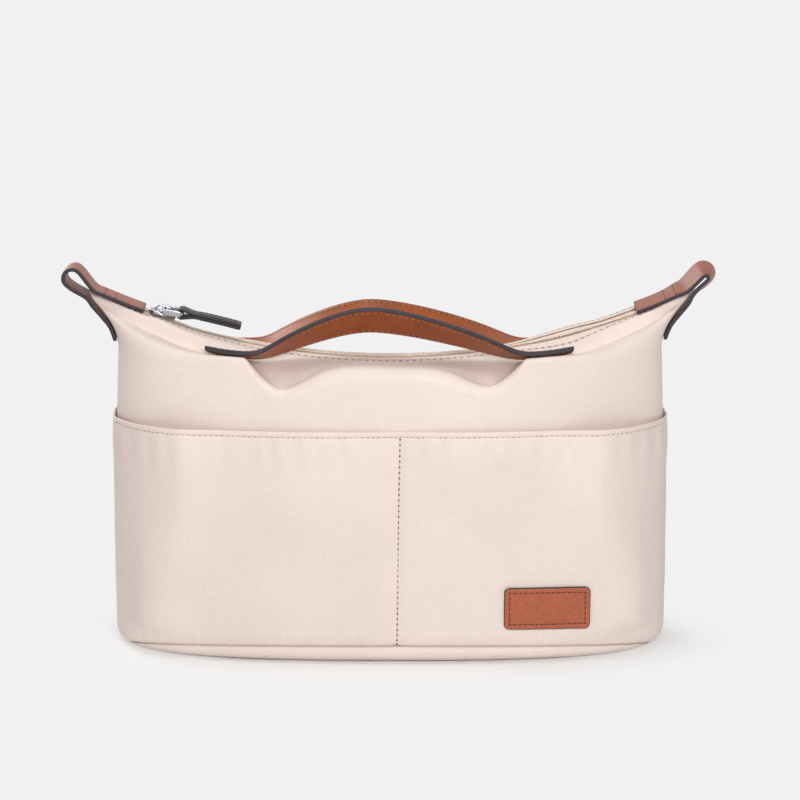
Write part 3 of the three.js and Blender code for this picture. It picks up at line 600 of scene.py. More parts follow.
def stitch_object(name, rows, paints, body, slot, step=THREAD_STEP, width=THREAD_WIDTH, mirror=False):
    """Threads along rows of (points, normals), with a dark bead of painted shade for the needle hole at the
    ends of each.
    """
    points, faces, slots = [], [], []
    thread_size = (step * THREAD_SHARE, width, THREAD_HEIGHT)
    hole_shade_size = (width * PAINTED_HOLE_SHADE_LENGTH, width * PAINTED_HOLE_SHADE_WIDTH, PAINTED_HOLE_SHADE_HEIGHT)
    for row_points, row_normals in rows:
        at, along, normal = spaced(np.asarray(row_points), np.asarray(row_normals), step)
        middle = (at[1:] + at[:-1]) / 2
        heading = unit(at[1:] - at[:-1])
        up = unit(normal[1:] + normal[:-1])
        threads = beads(middle + up * THREAD_SEAT, heading, up, thread_size, 5, 6)
        # dark beads at the needle holes: painted shade
        hole_shades = beads(at - normal * THREAD_SEAT, along, normal, hole_shade_size, 4, 6)
        for kind, (new_points, new_faces) in enumerate((threads, hole_shades)):
            start = sum(map(len, points))
            points.append(new_points)
            faces += [tuple(v + start for v in f) for f in new_faces]
            slots += [kind] * len(new_faces)
    made = new_object(name, mirrored(np.concatenate(points), mirror), faces, paints, slots)
    return dress(made, body, slot)


# Leather strips, bars and plates

STRIP_CROWN = 0.12  # how far a strip's faces fall to its edges
EDGE_INSET = 0.45  # roundness of a painted edge, as a share of the half thickness
NOTCH_DEPTH = 0.28  # of the line between two layers, in the painted edge
NOTCH_REACH = 0.16
TIP_ROUNDING = 0.5  # length of a rounded tip, as a share of the half thickness
TIP_STEPS = ((0.45, 0.93), (0.85, 0.72), (1.0, 0.4))  # shares of that length and of the thickness


def strip_profile(half_width, half_thick, layers):
    """Outline of a leather strip's section, as (across, up, painted): painted edges bulge a little."""
    face = np.linspace(-1, 1, 13)
    edge = np.linspace(-1, 1, 9)[1:-1]
    inset = half_thick * EDGE_INSET
    flat = half_width - inset
    top = [(a * flat, half_thick - STRIP_CROWN * a * a, 0) for a in face]
    bottom = [(-a * flat, -half_thick + STRIP_CROWN * a * a, 0) for a in face]

    def painted(side):
        points = []
        for e in edge:
            notch = NOTCH_DEPTH * bell(e, NOTCH_REACH) if layers == 2 else 0
            reach = flat + inset * (1 - abs(e) ** 3) ** 0.5 - notch
            points.append((side * reach, -side * e * (half_thick - STRIP_CROWN), 1))
        return points

    return top + painted(1) + bottom + painted(-1)


def strip_object(name, path, half_width, half_thick, materials, layers=1, cup=None):
    """A leather strip along a path of (centres, across, up); its tips are rounded over and painted."""
    centres, across, up = path
    profile = strip_profile(half_width, half_thick, layers)
    outline = np.array([p[:2] for p in profile])
    along = unit(np.gradient(centres, axis=0))
    cup = np.zeros(len(centres)) if cup is None else cup
    frames = [(c, a, u, 1.0, k) for c, a, u, k in zip(centres, across, up, cup)]
    tip = TIP_ROUNDING * half_thick
    for k, share in TIP_STEPS:
        frames.append((centres[-1] + along[-1] * tip * k, across[-1], up[-1], share, cup[-1]))
        frames.insert(0, (centres[0] - along[0] * tip * k, across[0], up[0], share, cup[0]))
    points = []
    for centre, a, u, share, bend in frames:
        flat = half_width - (1 - share) * half_thick
        section = outline * [flat / half_width, share]
        height = section[:, 1:] + bend * (section[:, :1] / half_width) ** 2
        points.append(centre + section[:, :1] * a + height * u)
    size = len(outline)
    rows = len(points)
    slots = []
    for s in range(rows - 1):
        at_tip = s < len(TIP_STEPS) or s >= rows - 1 - len(TIP_STEPS)
        for k in range(size):
            painted = profile[k][2] or profile[(k + 1) % size][2]
            slots.append(1 if painted or at_tip else 0)
    slots += [1, 1]
    lengths = length_along(np.array([f[0] for f in frames]))
    uvs = np.stack([np.repeat(lengths, size), np.tile(outline[:, 0], rows)], 1) * MM
    return new_object(name, np.concatenate(points), loft_faces(rows, size), materials, slots, uvs)


def strip_row(path, offset, height):
    """A path along a strip at a distance from its middle, on one of its faces."""
    centres, across, up = path
    return centres + across * offset + up * height, up * np.sign(height)


def tube_object(name, path, radius, closed=False, widen=1):
    """A round bar of metal along a path that lies in a plane, widened across that plane."""
    segments = 12
    path = np.asarray(path, float)
    along = unit(np.roll(path, -1, 0) - np.roll(path, 1, 0) if closed else np.gradient(path, axis=0))
    side = unit(np.broadcast_to(np.cross(along[0], along[len(along) // 3]), along.shape))
    out = unit(np.cross(along, side))
    turn = np.linspace(0, 2 * math.pi, segments, endpoint=False)
    points = (path[:, None] + radius * widen * np.cos(turn)[None, :, None] * side[:, None]
              + radius * np.sin(turn)[None, :, None] * out[:, None])
    return new_object(name, points.reshape(-1, 3), loft_faces(len(path), segments, closed), [METAL])


def plate_object(name, outline, bottom, top, bevel, place):
    """A metal plate with rounded edges from an outline in x and y, moved by the place function."""
    form = bmesh.new()
    low = [form.verts.new((x, y, bottom)) for x, y in outline]
    high = [form.verts.new((x, y, top)) for x, y in outline]
    form.faces.new(low[::-1])
    form.faces.new(high)
    for k in range(len(outline)):
        n = (k + 1) % len(outline)
        form.faces.new((low[k], low[n], high[n], high[k]))
    rims = [e for e in form.edges if abs(e.verts[0].co.z - e.verts[1].co.z) < TINY]
    bmesh.ops.bevel(form, geom=rims, offset=bevel, segments=3, profile=0.5, affect="EDGES")
    form.verts.index_update()
    points = place(np.array([v.co[:] for v in form.verts]))
    faces = [[v.index for v in f.verts] for f in form.faces]
    form.free()
    return new_object(name, points, faces, [METAL])


# Materials

WHITE = [1, 1, 1, 1]
BLACK = [0, 0, 0, 1]
WAVE_TURN = math.pi / 10  # scale of Blender's wave texture for one band per unit


def srgb(red, green, blue):
    """A colour written as 0 to 255, as linear values."""
    values = [v / 255 for v in (red, green, blue)]
    return [v / 12.92 if v <= 0.04045 else ((v + 0.055) / 1.055) ** 2.4 for v in values] + [1]


def shade(colour, factor):
    return [v * factor for v in colour[:3]] + [1]


class Nodes:
    """A node tree that is built by short calls."""

    def __init__(self, tree):
        self.nodes = tree.nodes
        self.links = tree.links

    def node(self, kind, inputs=None, **settings):
        made = self.nodes.new(kind)
        for key, value in settings.items():
            setattr(made, key, value)
        for key, value in (inputs or {}).items():
            if isinstance(value, bpy.types.NodeSocket):
                self.links.new(value, made.inputs[key])
            else:
                made.inputs[key].default_value = value
        return made


class Paint(Nodes):
    """A node material around one Principled shader."""

    def __init__(self, name, roughness, **sockets):
        self.material = bpy.data.materials.new(name)
        self.material.use_nodes = True
        super().__init__(self.material.node_tree)
        self.shader = self.nodes["Principled BSDF"]
        self.shader.inputs["Roughness"].default_value = roughness
        for socket, value in sockets.items():
            self.shader.inputs[socket.replace("_", " ")].default_value = value

    def coordinates(self, kind):
        return self.node("ShaderNodeTexCoord").outputs[kind]

    def noise(self, place, size, detail=3.0, roughness=0.5):
        return self.node("ShaderNodeTexNoise", {
            "Vector": place, "Scale": 1 / size, "Detail": detail, "Roughness": roughness}).outputs["Fac"]

    def wave(self, place, pitch, direction, distortion):
        return self.node("ShaderNodeTexWave", {
            "Vector": place, "Scale": WAVE_TURN / pitch, "Distortion": distortion,
            "Detail": 1.0, "Detail Scale": 2.0}, wave_type="BANDS", bands_direction=direction).outputs["Fac"]

    def math(self, operation, a, b):
        return self.node("ShaderNodeMath", {0: a, 1: b}, operation=operation).outputs[0]

    def ramp(self, value, low, high, low_colour, high_colour):
        made = self.node("ShaderNodeValToRGB", {"Fac": value})
        first, last = made.color_ramp.elements
        first.position, last.position = low, high
        first.color, last.color = low_colour, high_colour
        return made.outputs["Color"]

    def colour(self, base, *tints):
        """The base colour, multiplied by each tint."""
        for tint in tints:
            base = self.node("ShaderNodeMix", {0: 1.0, 6: base, 7: tint},
                             data_type="RGBA", blend_type="MULTIPLY").outputs[2]
        self.links.new(base, self.shader.inputs["Base Color"])

    def roughness(self, value, low, high):
        made = self.node("ShaderNodeMapRange", {"Value": value, "To Min": low, "To Max": high})
        self.links.new(made.outputs[0], self.shader.inputs["Roughness"])

    def bump(self, height, strength, distance, under=None):
        inputs = {"Height": height, "Strength": strength, "Distance": distance}
        if under is not None:
            inputs["Normal"] = under
        made = self.node("ShaderNodeBump", inputs).outputs["Normal"]
        self.links.new(made, self.shader.inputs["Normal"])
        return made


def cloth_paint(name, colour, pitch, sheen, contrast=0.06, shine=0.3):
    """Fine twill: diagonal ribs over cross threads, with slubs and slow changes of tone."""
    paint = Paint(name, 0.6, Sheen_Weight=sheen, Sheen_Roughness=0.35, Specular_IOR_Level=shine)
    place = paint.coordinates("UV")
    rib = paint.wave(place, pitch, "DIAGONAL", 0.6)
    warp = paint.wave(place, pitch * 0.75, "X", 0.4)
    weft = paint.wave(place, pitch * 0.75, "Y", 0.4)
    threads = paint.math("MULTIPLY", warp, weft)
    weave = paint.math("ADD", paint.math("MULTIPLY", rib, 0.35), paint.math("MULTIPLY", threads, 0.65))
    solid = paint.coordinates("Object")
    slub = paint.noise(solid, 0.0008, 3.0, 0.7)
    tone = paint.noise(solid, 0.05)
    base = paint.ramp(tone, 0.3, 0.7, shade(colour, 0.95), shade(colour, 1.02))
    rough = 1.9 * contrast
    grain = paint.ramp(slub, 0.3, 0.7, [1 - rough, 1 - rough * 1.1, 1 - rough * 1.2, 1], WHITE)
    lines = paint.ramp(weave, 0.1, 0.9, [1 - contrast * 0.8] * 3 + [1], WHITE)
    paint.colour(base, grain, lines)
    soft = paint.bump(paint.noise(solid, 0.006, 2.0), 0.12, 0.0006)
    paint.bump(weave, 0.35, 0.00012, soft)
    paint.roughness(slub, 0.5, 0.62)
    return paint.material


def leather_paint(name, colour, roughness=0.42, cloudy=1.0):
    """Smooth finished leather: fine pebble grain, pores, cloudy colour and a waxy shine."""
    paint = Paint(name, roughness, Specular_IOR_Level=0.3, Coat_Weight=0.03, Coat_Roughness=0.4)
    solid = paint.coordinates("Object")
    grain_size = 0.0009
    cells = paint.node("ShaderNodeTexVoronoi", {
        "Vector": solid, "Scale": 1 / grain_size, "Randomness": 1.0}, feature="DISTANCE_TO_EDGE")
    pebble = paint.ramp(cells.outputs["Distance"], 0.0, 0.16, BLACK, WHITE)
    cloud = paint.noise(solid, 0.011, 4.0, 0.6)
    fine = paint.noise(solid, 0.0016, 3.0, 0.6)
    dark = shade(colour, 1 - 0.22 * cloudy)
    light = shade(colour, 1 + 0.16 * cloudy)
    base = paint.ramp(cloud, 0.28, 0.74, dark, light)
    pores = paint.ramp(fine, 0.35, 0.6, [0.86, 0.83, 0.81, 1], WHITE)
    creases = paint.ramp(cells.outputs["Distance"], 0.0, 0.1, [0.8, 0.77, 0.74, 1], WHITE)
    paint.colour(base, pores, creases)
    soft = paint.bump(fine, 0.2, 0.0002)
    paint.bump(pebble, 0.25, 0.00008, soft)
    paint.roughness(cloud, roughness - 0.07, roughness + 0.1)
    return paint.material


def edge_paint(name, colour):
    """Edge dye: a dark brushed coat, a little uneven, rubbed paler in places; also the painted shade of
    needle holes.
    """
    paint = Paint(name, 0.5, Specular_IOR_Level=0.3)
    solid = paint.coordinates("Object")
    brushed = paint.noise(solid, 0.0022, 4.0, 0.65)
    rubbed = paint.noise(solid, 0.012, 2.0)
    base = paint.ramp(brushed, 0.3, 0.75, shade(colour, 0.75), shade(colour, 1.25))
    worn = paint.ramp(rubbed, 0.55, 0.8, WHITE, [1.25, 1.18, 1.12, 1])
    paint.colour(base, worn)
    paint.bump(brushed, 0.3, 0.00012)
    paint.roughness(brushed, 0.42, 0.6)
    return paint.material


def thread_paint(name, colour):
    """Twisted sewing thread."""
    paint = Paint(name, 0.6, Sheen_Weight=0.2)
    solid = paint.coordinates("Object")
    twist = paint.wave(solid, 0.00042, "DIAGONAL", 0.5)
    fuzz = paint.noise(solid, 0.0006)
    base = paint.ramp(twist, 0.1, 0.9, shade(colour, 0.8), colour)
    paint.colour(base, paint.ramp(fuzz, 0.3, 0.7, [0.9, 0.88, 0.86, 1], WHITE))
    paint.bump(twist, 0.5, 0.0001)
    return paint.material


def metal_paint(name, colour, roughness):
    """Polished nickel with hairline scratches and a slightly cloudy shine."""
    paint = Paint(name, roughness, Metallic=1.0)
    solid = paint.coordinates("Object")
    cloud = paint.noise(solid, 0.004)
    hair = paint.noise(solid, 0.0007, 5.0, 0.75)
    paint.colour(paint.ramp(cloud, 0.3, 0.7, shade(colour, 0.9), colour))
    paint.bump(hair, 0.05, 0.00005)
    paint.roughness(hair, roughness * 0.7, roughness * 1.5)
    return paint.material


def coil_paint(name, colour):
    """Drawn nylon: smooth, with slight changes of tone from tooth to tooth."""
    paint = Paint(name, 0.38, Specular_IOR_Level=0.5)
    solid = paint.coordinates("Object")
    tone = paint.noise(solid, 0.0025, 2.0)
    fine = paint.noise(solid, 0.0004, 2.0)
    paint.colour(paint.ramp(tone, 0.3, 0.7, shade(colour, 0.88), colour))
    paint.bump(fine, 0.1, 0.00005)
    paint.roughness(tone, 0.3, 0.45)
    return paint.material


def board_paint(name, colour):
    """Stiff pressed board: faint fibre marks."""
    paint = Paint(name, 0.7)
    solid = paint.coordinates("Object")
    fibre = paint.noise(solid, 0.003, 5.0, 0.7)
    paint.colour(paint.ramp(fibre, 0.3, 0.7, shade(colour, 0.9), colour))
    paint.bump(fibre, 0.2, 0.0002)
    return paint.material


FABRIC = cloth_paint("cream_twill", srgb(239, 222, 213), 0.0007, 0.0, shine=0.8)
HEM_FABRIC = cloth_paint("cream_twill_edge", srgb(237, 216, 205), 0.0007, 0.0, shine=0.8)
LINING = cloth_paint("lining_weave", srgb(217, 200, 188), 0.0005, 0.1, 0.1)
TAPE = cloth_paint("zip_tape_weave", srgb(250, 232, 215), 0.0011, 0.05, 0.07)
LEATHER = leather_paint("strap_leather", srgb(160, 84, 40))
TAB_LEATHER = leather_paint("tab_leather", srgb(160, 96, 72))
LABEL_LEATHER = leather_paint("label_leather", srgb(180, 98, 66), 0.5, cloudy=0.3)
PULL_LEATHER = leather_paint("pull_leather", srgb(46, 40, 44))
EDGE = edge_paint("dark_edge_dye", srgb(52, 48, 56))
THREAD = thread_paint("cream_thread", srgb(233, 211, 196))
BROWN_THREAD = thread_paint("brown_thread", srgb(190, 116, 72))
LABEL_THREAD = thread_paint("label_thread", srgb(136, 72, 50))
DARK_THREAD = thread_paint("dark_thread", srgb(66, 56, 60))
# Painted shade: dark paints for the beads at every needle hole, standing for the shade inside the holes
PAINTED_HOLE_SHADE = edge_paint("painted_hole_shade", srgb(158, 126, 108))
DARK_PAINTED_HOLE_SHADE = edge_paint("dark_painted_hole_shade", srgb(112, 84, 68))
BROWN_PAINTED_HOLE_SHADE = edge_paint("leather_painted_hole_shade", srgb(70, 34, 22))
METAL = metal_paint("nickel", srgb(182, 182, 187), 0.18)
COIL = coil_paint("nylon_coil", srgb(250, 230, 212))
BOARD = board_paint("base_board", srgb(228, 226, 220))


# Fabric shell

SHELL_STEPS = (64, 14, 16, 12, 10)
WALL_STEPS, CORNER_STEPS, ROOF_STEPS, DIP_STEPS, STRIP_STEPS = SHELL_STEPS
STRIP_ROW = 4.0  # row values count 1 for each of these parts
LAST_ROW = 5.0
TOP_SMOOTHING = 4
TAUT_REACH = 20  # the cloth is taut this far from the middle of a sewn end
TAUT_HEIGHTS = (125, 138)
TAUT_SIDES = (105, 128)
TAUT_ROWS = (3.2, STRIP_ROW)
SHELL_TUCK = 1.3  # at the base seam
SHELL_TUCK_REACH = 4
LINING_ROWS = (2.2, 2.9)  # where the lining ends
ZIP_STITCH_ROW = 4.62
ZIP_STITCH_SHARE = 0.93  # of the half width
ZIP_SEWING = (3.2, 1.0)  # step and width of the thread


def wall_soft(points, seed):
    """How far the slack cloth of a wall stands in or out."""
    slow = WRINKLE * soft_noise(points, WRINKLE_SIZE, seed)
    quick = FINE_WRINKLE * WRINKLE * soft_noise(points, FINE_WRINKLE_SIZE, seed + 3)
    return (slow + quick) * smoothstep(points[..., 2], SEAM_HEIGHT, WRINKLE_FULL)


def shell_columns(shares, side):
    """The front's outer face, from the base seam to the zip, with the row values of its grid."""
    shoulder, valley, strip, edge = top_points(shares, side)
    hollow = HOLLOW_CREASE * side["hollow"] / FRONT["hollow"] * hollow_share(shoulder[:, 0])
    crease_reach = HANDLE_END_LENGTH * SEWN_CREASE_REACH
    sewn = SEWN_CREASE * bell(np.abs(shoulder[:, 0]) - HANDLE_END_MIDDLE, crease_reach)
    rounding = SHOULDER_ROUNDING * (1 - np.maximum(hollow, sewn))
    top = shoulder[:, 2] - rounding
    wall_top = wall_point(shares, top)
    roof = valley - shoulder
    reach = np.minimum(rounding, np.linalg.norm(roof, axis=1) / 2)
    roof_start = shoulder + unit(roof) * reach[:, None]
    parts = []
    for k in range(WALL_STEPS):
        parts.append(wall_point(shares, lerp(seam_height(shares), top, k / WALL_STEPS)))
    for k in range(CORNER_STEPS):
        t = k / CORNER_STEPS
        parts.append((1 - t) ** 2 * wall_top + 2 * t * (1 - t) * shoulder + t ** 2 * roof_start)
    for start, end, steps in (
            (roof_start, valley, ROOF_STEPS), (valley, strip, DIP_STEPS), (strip, edge, STRIP_STEPS)):
        for k in range(steps):
            parts.append(lerp(start, end, k / steps))
    parts.append(edge)
    rows = np.concatenate([np.arange(n) / n + k for k, n in enumerate(SHELL_STEPS)] + [[LAST_ROW]])
    return np.stack(parts, axis=1), rows


def smoothed_top(points):
    """Softens the creases of the top, from the shoulder to the strip over the zip."""
    first = WALL_STEPS + 2
    last = points.shape[1] - STRIP_STEPS // 2
    for _ in range(TOP_SMOOTHING):
        average = (points[:, first - 1:last - 1] + points[:, first + 1:last + 1]) / 2
        points[:, first:last] = lerp(points[:, first:last], average, 0.5)
    return points


def folds(points):
    """How far the cloth behind the top edge sinks in the hollows beside the handle ends."""
    run = grid_runs(points, 1)
    crest = WALL_STEPS + CORNER_STEPS // 2
    past = run - run[:, crest:crest + 1]
    reach = np.where(past > FOLD_BACK, FOLD_ROOF, FOLD_WALL)
    return hollow_share(points[..., 0], FOLD_INNER) * bell(past - FOLD_BACK, reach)


def shell(side, seed):
    """The outer face of a front or rear shell, with its wrinkles, its tuck and its folds."""
    points, rows = shell_columns(SHARES, side)
    points = smoothed_top(points)
    normals = grid_normals(points)
    x = np.abs(points[..., 0])
    height = points[..., 2]
    slack = 1 - bell(x - HANDLE_END_MIDDLE, TAUT_REACH) * smoothstep(height, *TAUT_HEIGHTS)
    slack = slack * (1 - smoothstep(x, *TAUT_SIDES)) * (1 - smoothstep(rows, *TAUT_ROWS))
    tuck = SHELL_TUCK * bell(height - seam_height(SHARES)[:, None], SHELL_TUCK_REACH)
    points = points + normals * (wall_soft(points, seed) * slack - tuck)[..., None]
    depth = FOLD_DEPTH * side["hollow"] / FRONT["hollow"]
    points = points + unit(np.array(FOLD_WAY)) * (depth * folds(points))[..., None]
    return Cloth(SHARES, rows, points)


def shell_object(side, cloth, mirror):
    depth = lerp(SHELL_THICKNESS, PANEL_THICKNESS, smoothstep(cloth.rows, *LINING_ROWS))
    from_edge = np.maximum(0, LAST_ROW - cloth.rows) * (TAPE_HALF_WIDTH - SEAM_HALF_GAP + TAPE_COVER)
    share = rounded(from_edge, PANEL_THICKNESS / 2)
    made = cloth_object(f"{side}_shell", cloth, depth, share, [FABRIC, LINING, HEM_FABRIC], mirror)
    return dress(made, "bag", "fabric", f"{side}_panel", f"{side}_lining")


def zip_stitches(side, cloth, mirror):
    shares = np.linspace(-ZIP_STITCH_SHARE, ZIP_STITCH_SHARE, ROW_SAMPLES)
    row = cloth.at(shares, np.full(ROW_SAMPLES, ZIP_STITCH_ROW))
    return stitch_object(f"{side}_zip_stitches", [row], [THREAD, PAINTED_HOLE_SHADE], "bag", "fabric", *ZIP_SEWING, mirror)


# Pockets

HEM_ZONE = 12  # finer rows below the top edge
HEM_EDGE = (0.5, 0.34, 0.2, 0.09, 0.03, 0.0)  # rows of the rounded top edge, below its crest
POCKET_STEPS = (60, 36)  # below that zone and in it
POCKET_ROWS = np.concatenate([
    np.linspace(SEAM_HEIGHT, POCKET_HEIGHT - HEM_ZONE, POCKET_STEPS[0])[:-1],
    np.linspace(POCKET_HEIGHT - HEM_ZONE, POCKET_HEIGHT - HEM_EDGE[0], POCKET_STEPS[1])[:-1],
    POCKET_HEIGHT - np.array(HEM_EDGE)])
PUCKER_PITCH = 11.5  # of the ripples under the hem
PUCKER_RISE = 1.6
PUCKER_DROP = 7  # of their middle, below the hem's stitches
PUCKER_REACH = 9
PUCKER_DRIFT = 4  # how far their phase wanders
GATHER_PITCH = 6.1  # of the ripples over the base seam
GATHER_RISE = 0.35
GATHER_LIFT = 4  # of their middle, above the seam
GATHER_REACH = 6
GATHER_DRIFT = 5
RIPPLE_SIZE = 16  # of the changes in both
RIPPLE_TALL = 0.15  # how quickly they change with height
HEM_STEP = (-0.5, 0.8)  # where the hem's double cloth ends, below its stitches
HEM_GROOVE = 0.3
HEM_GROOVE_REACH = 0.55
DIVIDER_GROOVE = 0.75
DIVIDER_GROOVE_REACH = 1.3
DIVIDER_DRAW = 0.5  # the cloth beside the divider is drawn in
DIVIDER_DRAW_REACH = 6
POCKET_TUCK = 1.8  # at the base seam
POCKET_TUCK_REACH = 2.4
HEM_STITCH_SHARE = 0.985  # of the half width
DIVIDER_STITCH_INSET = 1  # from the base seam and from the hem's stitches
DIVIDER_STITCH_WIDTH = 0.65
DIVIDER_SAMPLES = 160


def pocket_gap(c, z):
    mouth = smoothstep(z, POCKET_HEIGHT / 3, POCKET_HEIGHT)
    free = 1 - bell(c * SHOULDER_WIDTH / 2 - DIVIDER_X, POCKET_SEAM_REACH)
    return CLEARANCE + POCKET_GAPE * mouth * free * depth_share(c)


def divider_x(z):
    return DIVIDER_X + DIVIDER_LEAN * (z - POCKET_HEIGHT / 2)


def ridge_height(x, z):
    """The soft ridges where a pocket turns to the sides."""
    past = np.abs(x) - RIDGE_X - RIDGE_SPREAD * (1 - smoothstep(z, SEAM_EASE, RIDGE_STRAIGHT))
    ridge = RIDGE * bell(past, np.where(past > 0, RIDGE_OUTER, RIDGE_INNER))
    ridge = ridge * smoothstep(z, SEAM_HEIGHT, SEAM_EASE)
    ridge = ridge * (1 - smoothstep(np.abs(x), RIDGE_FADE, BASE_WIDTH / 2))
    return ridge * np.where(x > 0, RIDGE_RIGHT, 1.0)


def pocket(seed):
    """The pocket's outer face: it follows the wall, gapes at the mouth and puckers at its seams."""
    c = SHARES[:, None]
    row = POCKET_ROWS[None, :]
    ease = 1 - smoothstep(row, SEAM_HEIGHT, SEAM_EASE)
    z = row + (seam_height(c) - SEAM_HEIGHT) * ease
    wall = wall_point(c, z)
    normals = grid_normals(wall)
    x = wall[..., 0]
    below_hem = POCKET_HEIGHT - HEM_STITCH_DROP - z
    around = length_along(wall[:, len(POCKET_ROWS) // 2])[:, None]
    slow = 0.5 + 0.5 * soft_noise(vec(around + 0 * z, 0, z * RIPPLE_TALL), RIPPLE_SIZE, seed + 7)
    ripple = 0.5 + 0.5 * np.sin(2 * math.pi * around / PUCKER_PITCH + PUCKER_DRIFT * slow)
    gather = 0.5 + 0.5 * np.sin(2 * math.pi * around / GATHER_PITCH + GATHER_DRIFT * slow)
    puckers = PUCKER * PUCKER_RISE * ripple * slow * bell(below_hem - PUCKER_DROP, PUCKER_REACH)
    puckers = puckers * (below_hem > 0)
    gathers = PUCKER * GATHER_RISE * gather * bell(row - SEAM_HEIGHT - GATHER_LIFT, GATHER_REACH)
    hem = HEM_RISE * (1 - smoothstep(below_hem, *HEM_STEP))
    groove = HEM_GROOVE * bell(below_hem, HEM_GROOVE_REACH)
    aside = x - divider_x(z)
    divider = (DIVIDER_GROOVE * bell(aside, DIVIDER_GROOVE_REACH)
               + DIVIDER_DRAW * bell(aside, DIVIDER_DRAW_REACH))
    tuck = POCKET_TUCK * bell(row - SEAM_HEIGHT, POCKET_TUCK_REACH)
    lift = pocket_gap(c, z) + POCKET_THICKNESS + wall_soft(wall, seed) + ridge_height(x, z)
    lift = lift + puckers + gathers + hem - groove - divider - tuck
    return Cloth(SHARES, POCKET_ROWS, wall + normals * lift[..., None])


def pocket_object(side, cloth, mirror):
    depth = np.full(len(POCKET_ROWS), POCKET_THICKNESS)
    share = rounded(POCKET_HEIGHT - POCKET_ROWS, POCKET_THICKNESS / 2)
    made = cloth_object(f"{side}_pocket_cloth", cloth, depth, share, [FABRIC, FABRIC, HEM_FABRIC], mirror)
    return dress(made, "bag", "fabric", f"{side}_pocket")


def pocket_stitches(side, cloth, mirror):
    """The rows along the hem and down the divider."""
    hem_height = POCKET_HEIGHT - HEM_STITCH_DROP
    hem = cloth.at(np.linspace(-HEM_STITCH_SHARE, HEM_STITCH_SHARE, ROW_SAMPLES), hem_height)
    rise = np.linspace(
        SEAM_HEIGHT + DIVIDER_STITCH_INSET, hem_height - DIVIDER_STITCH_INSET, DIVIDER_SAMPLES)
    divider = cloth.at(divider_x(rise) / wall_point(1.0, rise)[:, 0], rise)
    return [
        stitch_object(f"{side}_hem_stitches", [hem], [THREAD, PAINTED_HOLE_SHADE], "bag", "fabric", mirror=mirror),
        stitch_object(f"{side}_divider_stitches", [divider], [THREAD, DARK_PAINTED_HOLE_SHADE], "bag", "fabric",
                      width=DIVIDER_STITCH_WIDTH, mirror=mirror)]


pockets = {}
for side, form, seed, mirror in (("front", FRONT, 1, False), ("rear", REAR, 5, True)):
    body = shell(form, seed)
    pockets[side] = pocket(seed)
    body_cloth = shell_object(side, body, mirror)
    pocket_cloth = pocket_object(side, pockets[side], mirror)
    sewn_pocket = pocket_stitches(side, pockets[side], mirror)
    sewn_top = zip_stitches(side, body, mirror)


# Base

BASE_COLUMNS = 180
BASE_ROWS = 18  # from the underside to the seam
BASE_PUFF = 1.4
BASE_PUFF_POWER = 0.7
BASE_PUFF_HEIGHTS = (2, 7)  # of the seam, between which the puff grows
BASE_SEAM_GAP = 0.1  # from the rim to the seam
BASE_RIM_TURN = ((0.5, 0.05), (1.3, 0.0))  # inset and rise of the rim where it turns in at the seam
BASE_LIP = 2.3  # inset of the rim's inner edge
BASE_LIP_DROP = 1
BASE_LIP_LOWEST = 0.6
BASE_WALL = 2.4  # from the rim to the inner face
BASE_FLOOR_DROP = 0.2  # of that face below the rim, at least
BASE_GATHER = 0.16  # of the ripples below the seam
BASE_GATHER_PITCH = 3.2
BASE_GATHER_DRIFT = 3
BASE_GATHER_ROW = 0.85  # share of the way up the rim
BASE_GATHER_REACH = 0.2
BASE_RIPPLE_SIZE = 14
BASE_SEED = 11
BASE_CUT = BASE_EDGE_ROUNDING * (math.pi / 2 - 1) + SEAM_HEIGHT - BASE_EDGE_ROUNDING  # past the plan


def base_loop(inset, z, shares):
    """Outline of the base drawn in by an inset, front half first."""
    half_width = BASE_WIDTH / 2 - inset
    half_depth = BASE_DEPTH / 2 + SIDE_GAP - inset
    front = vec(half_width * shares, -half_depth * depth_share(shares), z)
    rear = vec(-half_width * shares, half_depth * depth_share(shares), z)
    return np.concatenate([front, rear])


def base_object():
    """The base from its flat underside up the rounded edge to the seam, and back down inside."""
    shares = plan_shares(BASE_COLUMNS)[:-1]
    top = seam_height(shares) - BASE_SEAM_GAP
    loops = []
    for t in np.linspace(0, 1, BASE_ROWS):
        z = top * t ** 2
        puff = BASE_PUFF * math.sin(math.pi * t ** 2) ** BASE_PUFF_POWER * smoothstep(top, *BASE_PUFF_HEIGHTS)
        loops.append((edge_inset(z) - puff, z, t))
    rim = edge_inset(top)
    loops += [(rim + inset, top + rise, 1) for inset, rise in BASE_RIM_TURN]
    loops.append((rim + BASE_LIP, np.maximum(BASE_LIP_LOWEST, top - BASE_LIP_DROP), 1))
    floor_inset = np.maximum(rim, PANEL_THICKNESS + BASE_EDGE_ROUNDING / 2) + BASE_WALL
    loops.append((floor_inset, np.minimum(top - BASE_FLOOR_DROP, BASE_THICKNESS), 1))
    points = []
    for inset, z, t in loops:
        loop = base_loop(inset, z, shares)
        around = length_along(loop)
        slow = soft_noise(vec(around, 0, 0), BASE_RIPPLE_SIZE, BASE_SEED)
        gather = np.sin(2 * math.pi * around / BASE_GATHER_PITCH + BASE_GATHER_DRIFT * slow)
        strength = BASE_GATHER * bell(t - BASE_GATHER_ROW, BASE_GATHER_REACH)
        points.append(loop + unit(loop * [1, 1, 0]) * (strength * gather)[:, None])
    size = 2 * BASE_COLUMNS
    lengths = np.concatenate([length_along(loop) for loop in points])
    rise = np.repeat(length_along(np.array([loop[BASE_COLUMNS // 2] for loop in points])), size)
    uvs = np.stack([lengths, rise], 1) * MM
    faces = loft_faces(len(points), size)
    return new_object("base_cloth", np.concatenate(points), faces, [FABRIC], None, uvs)


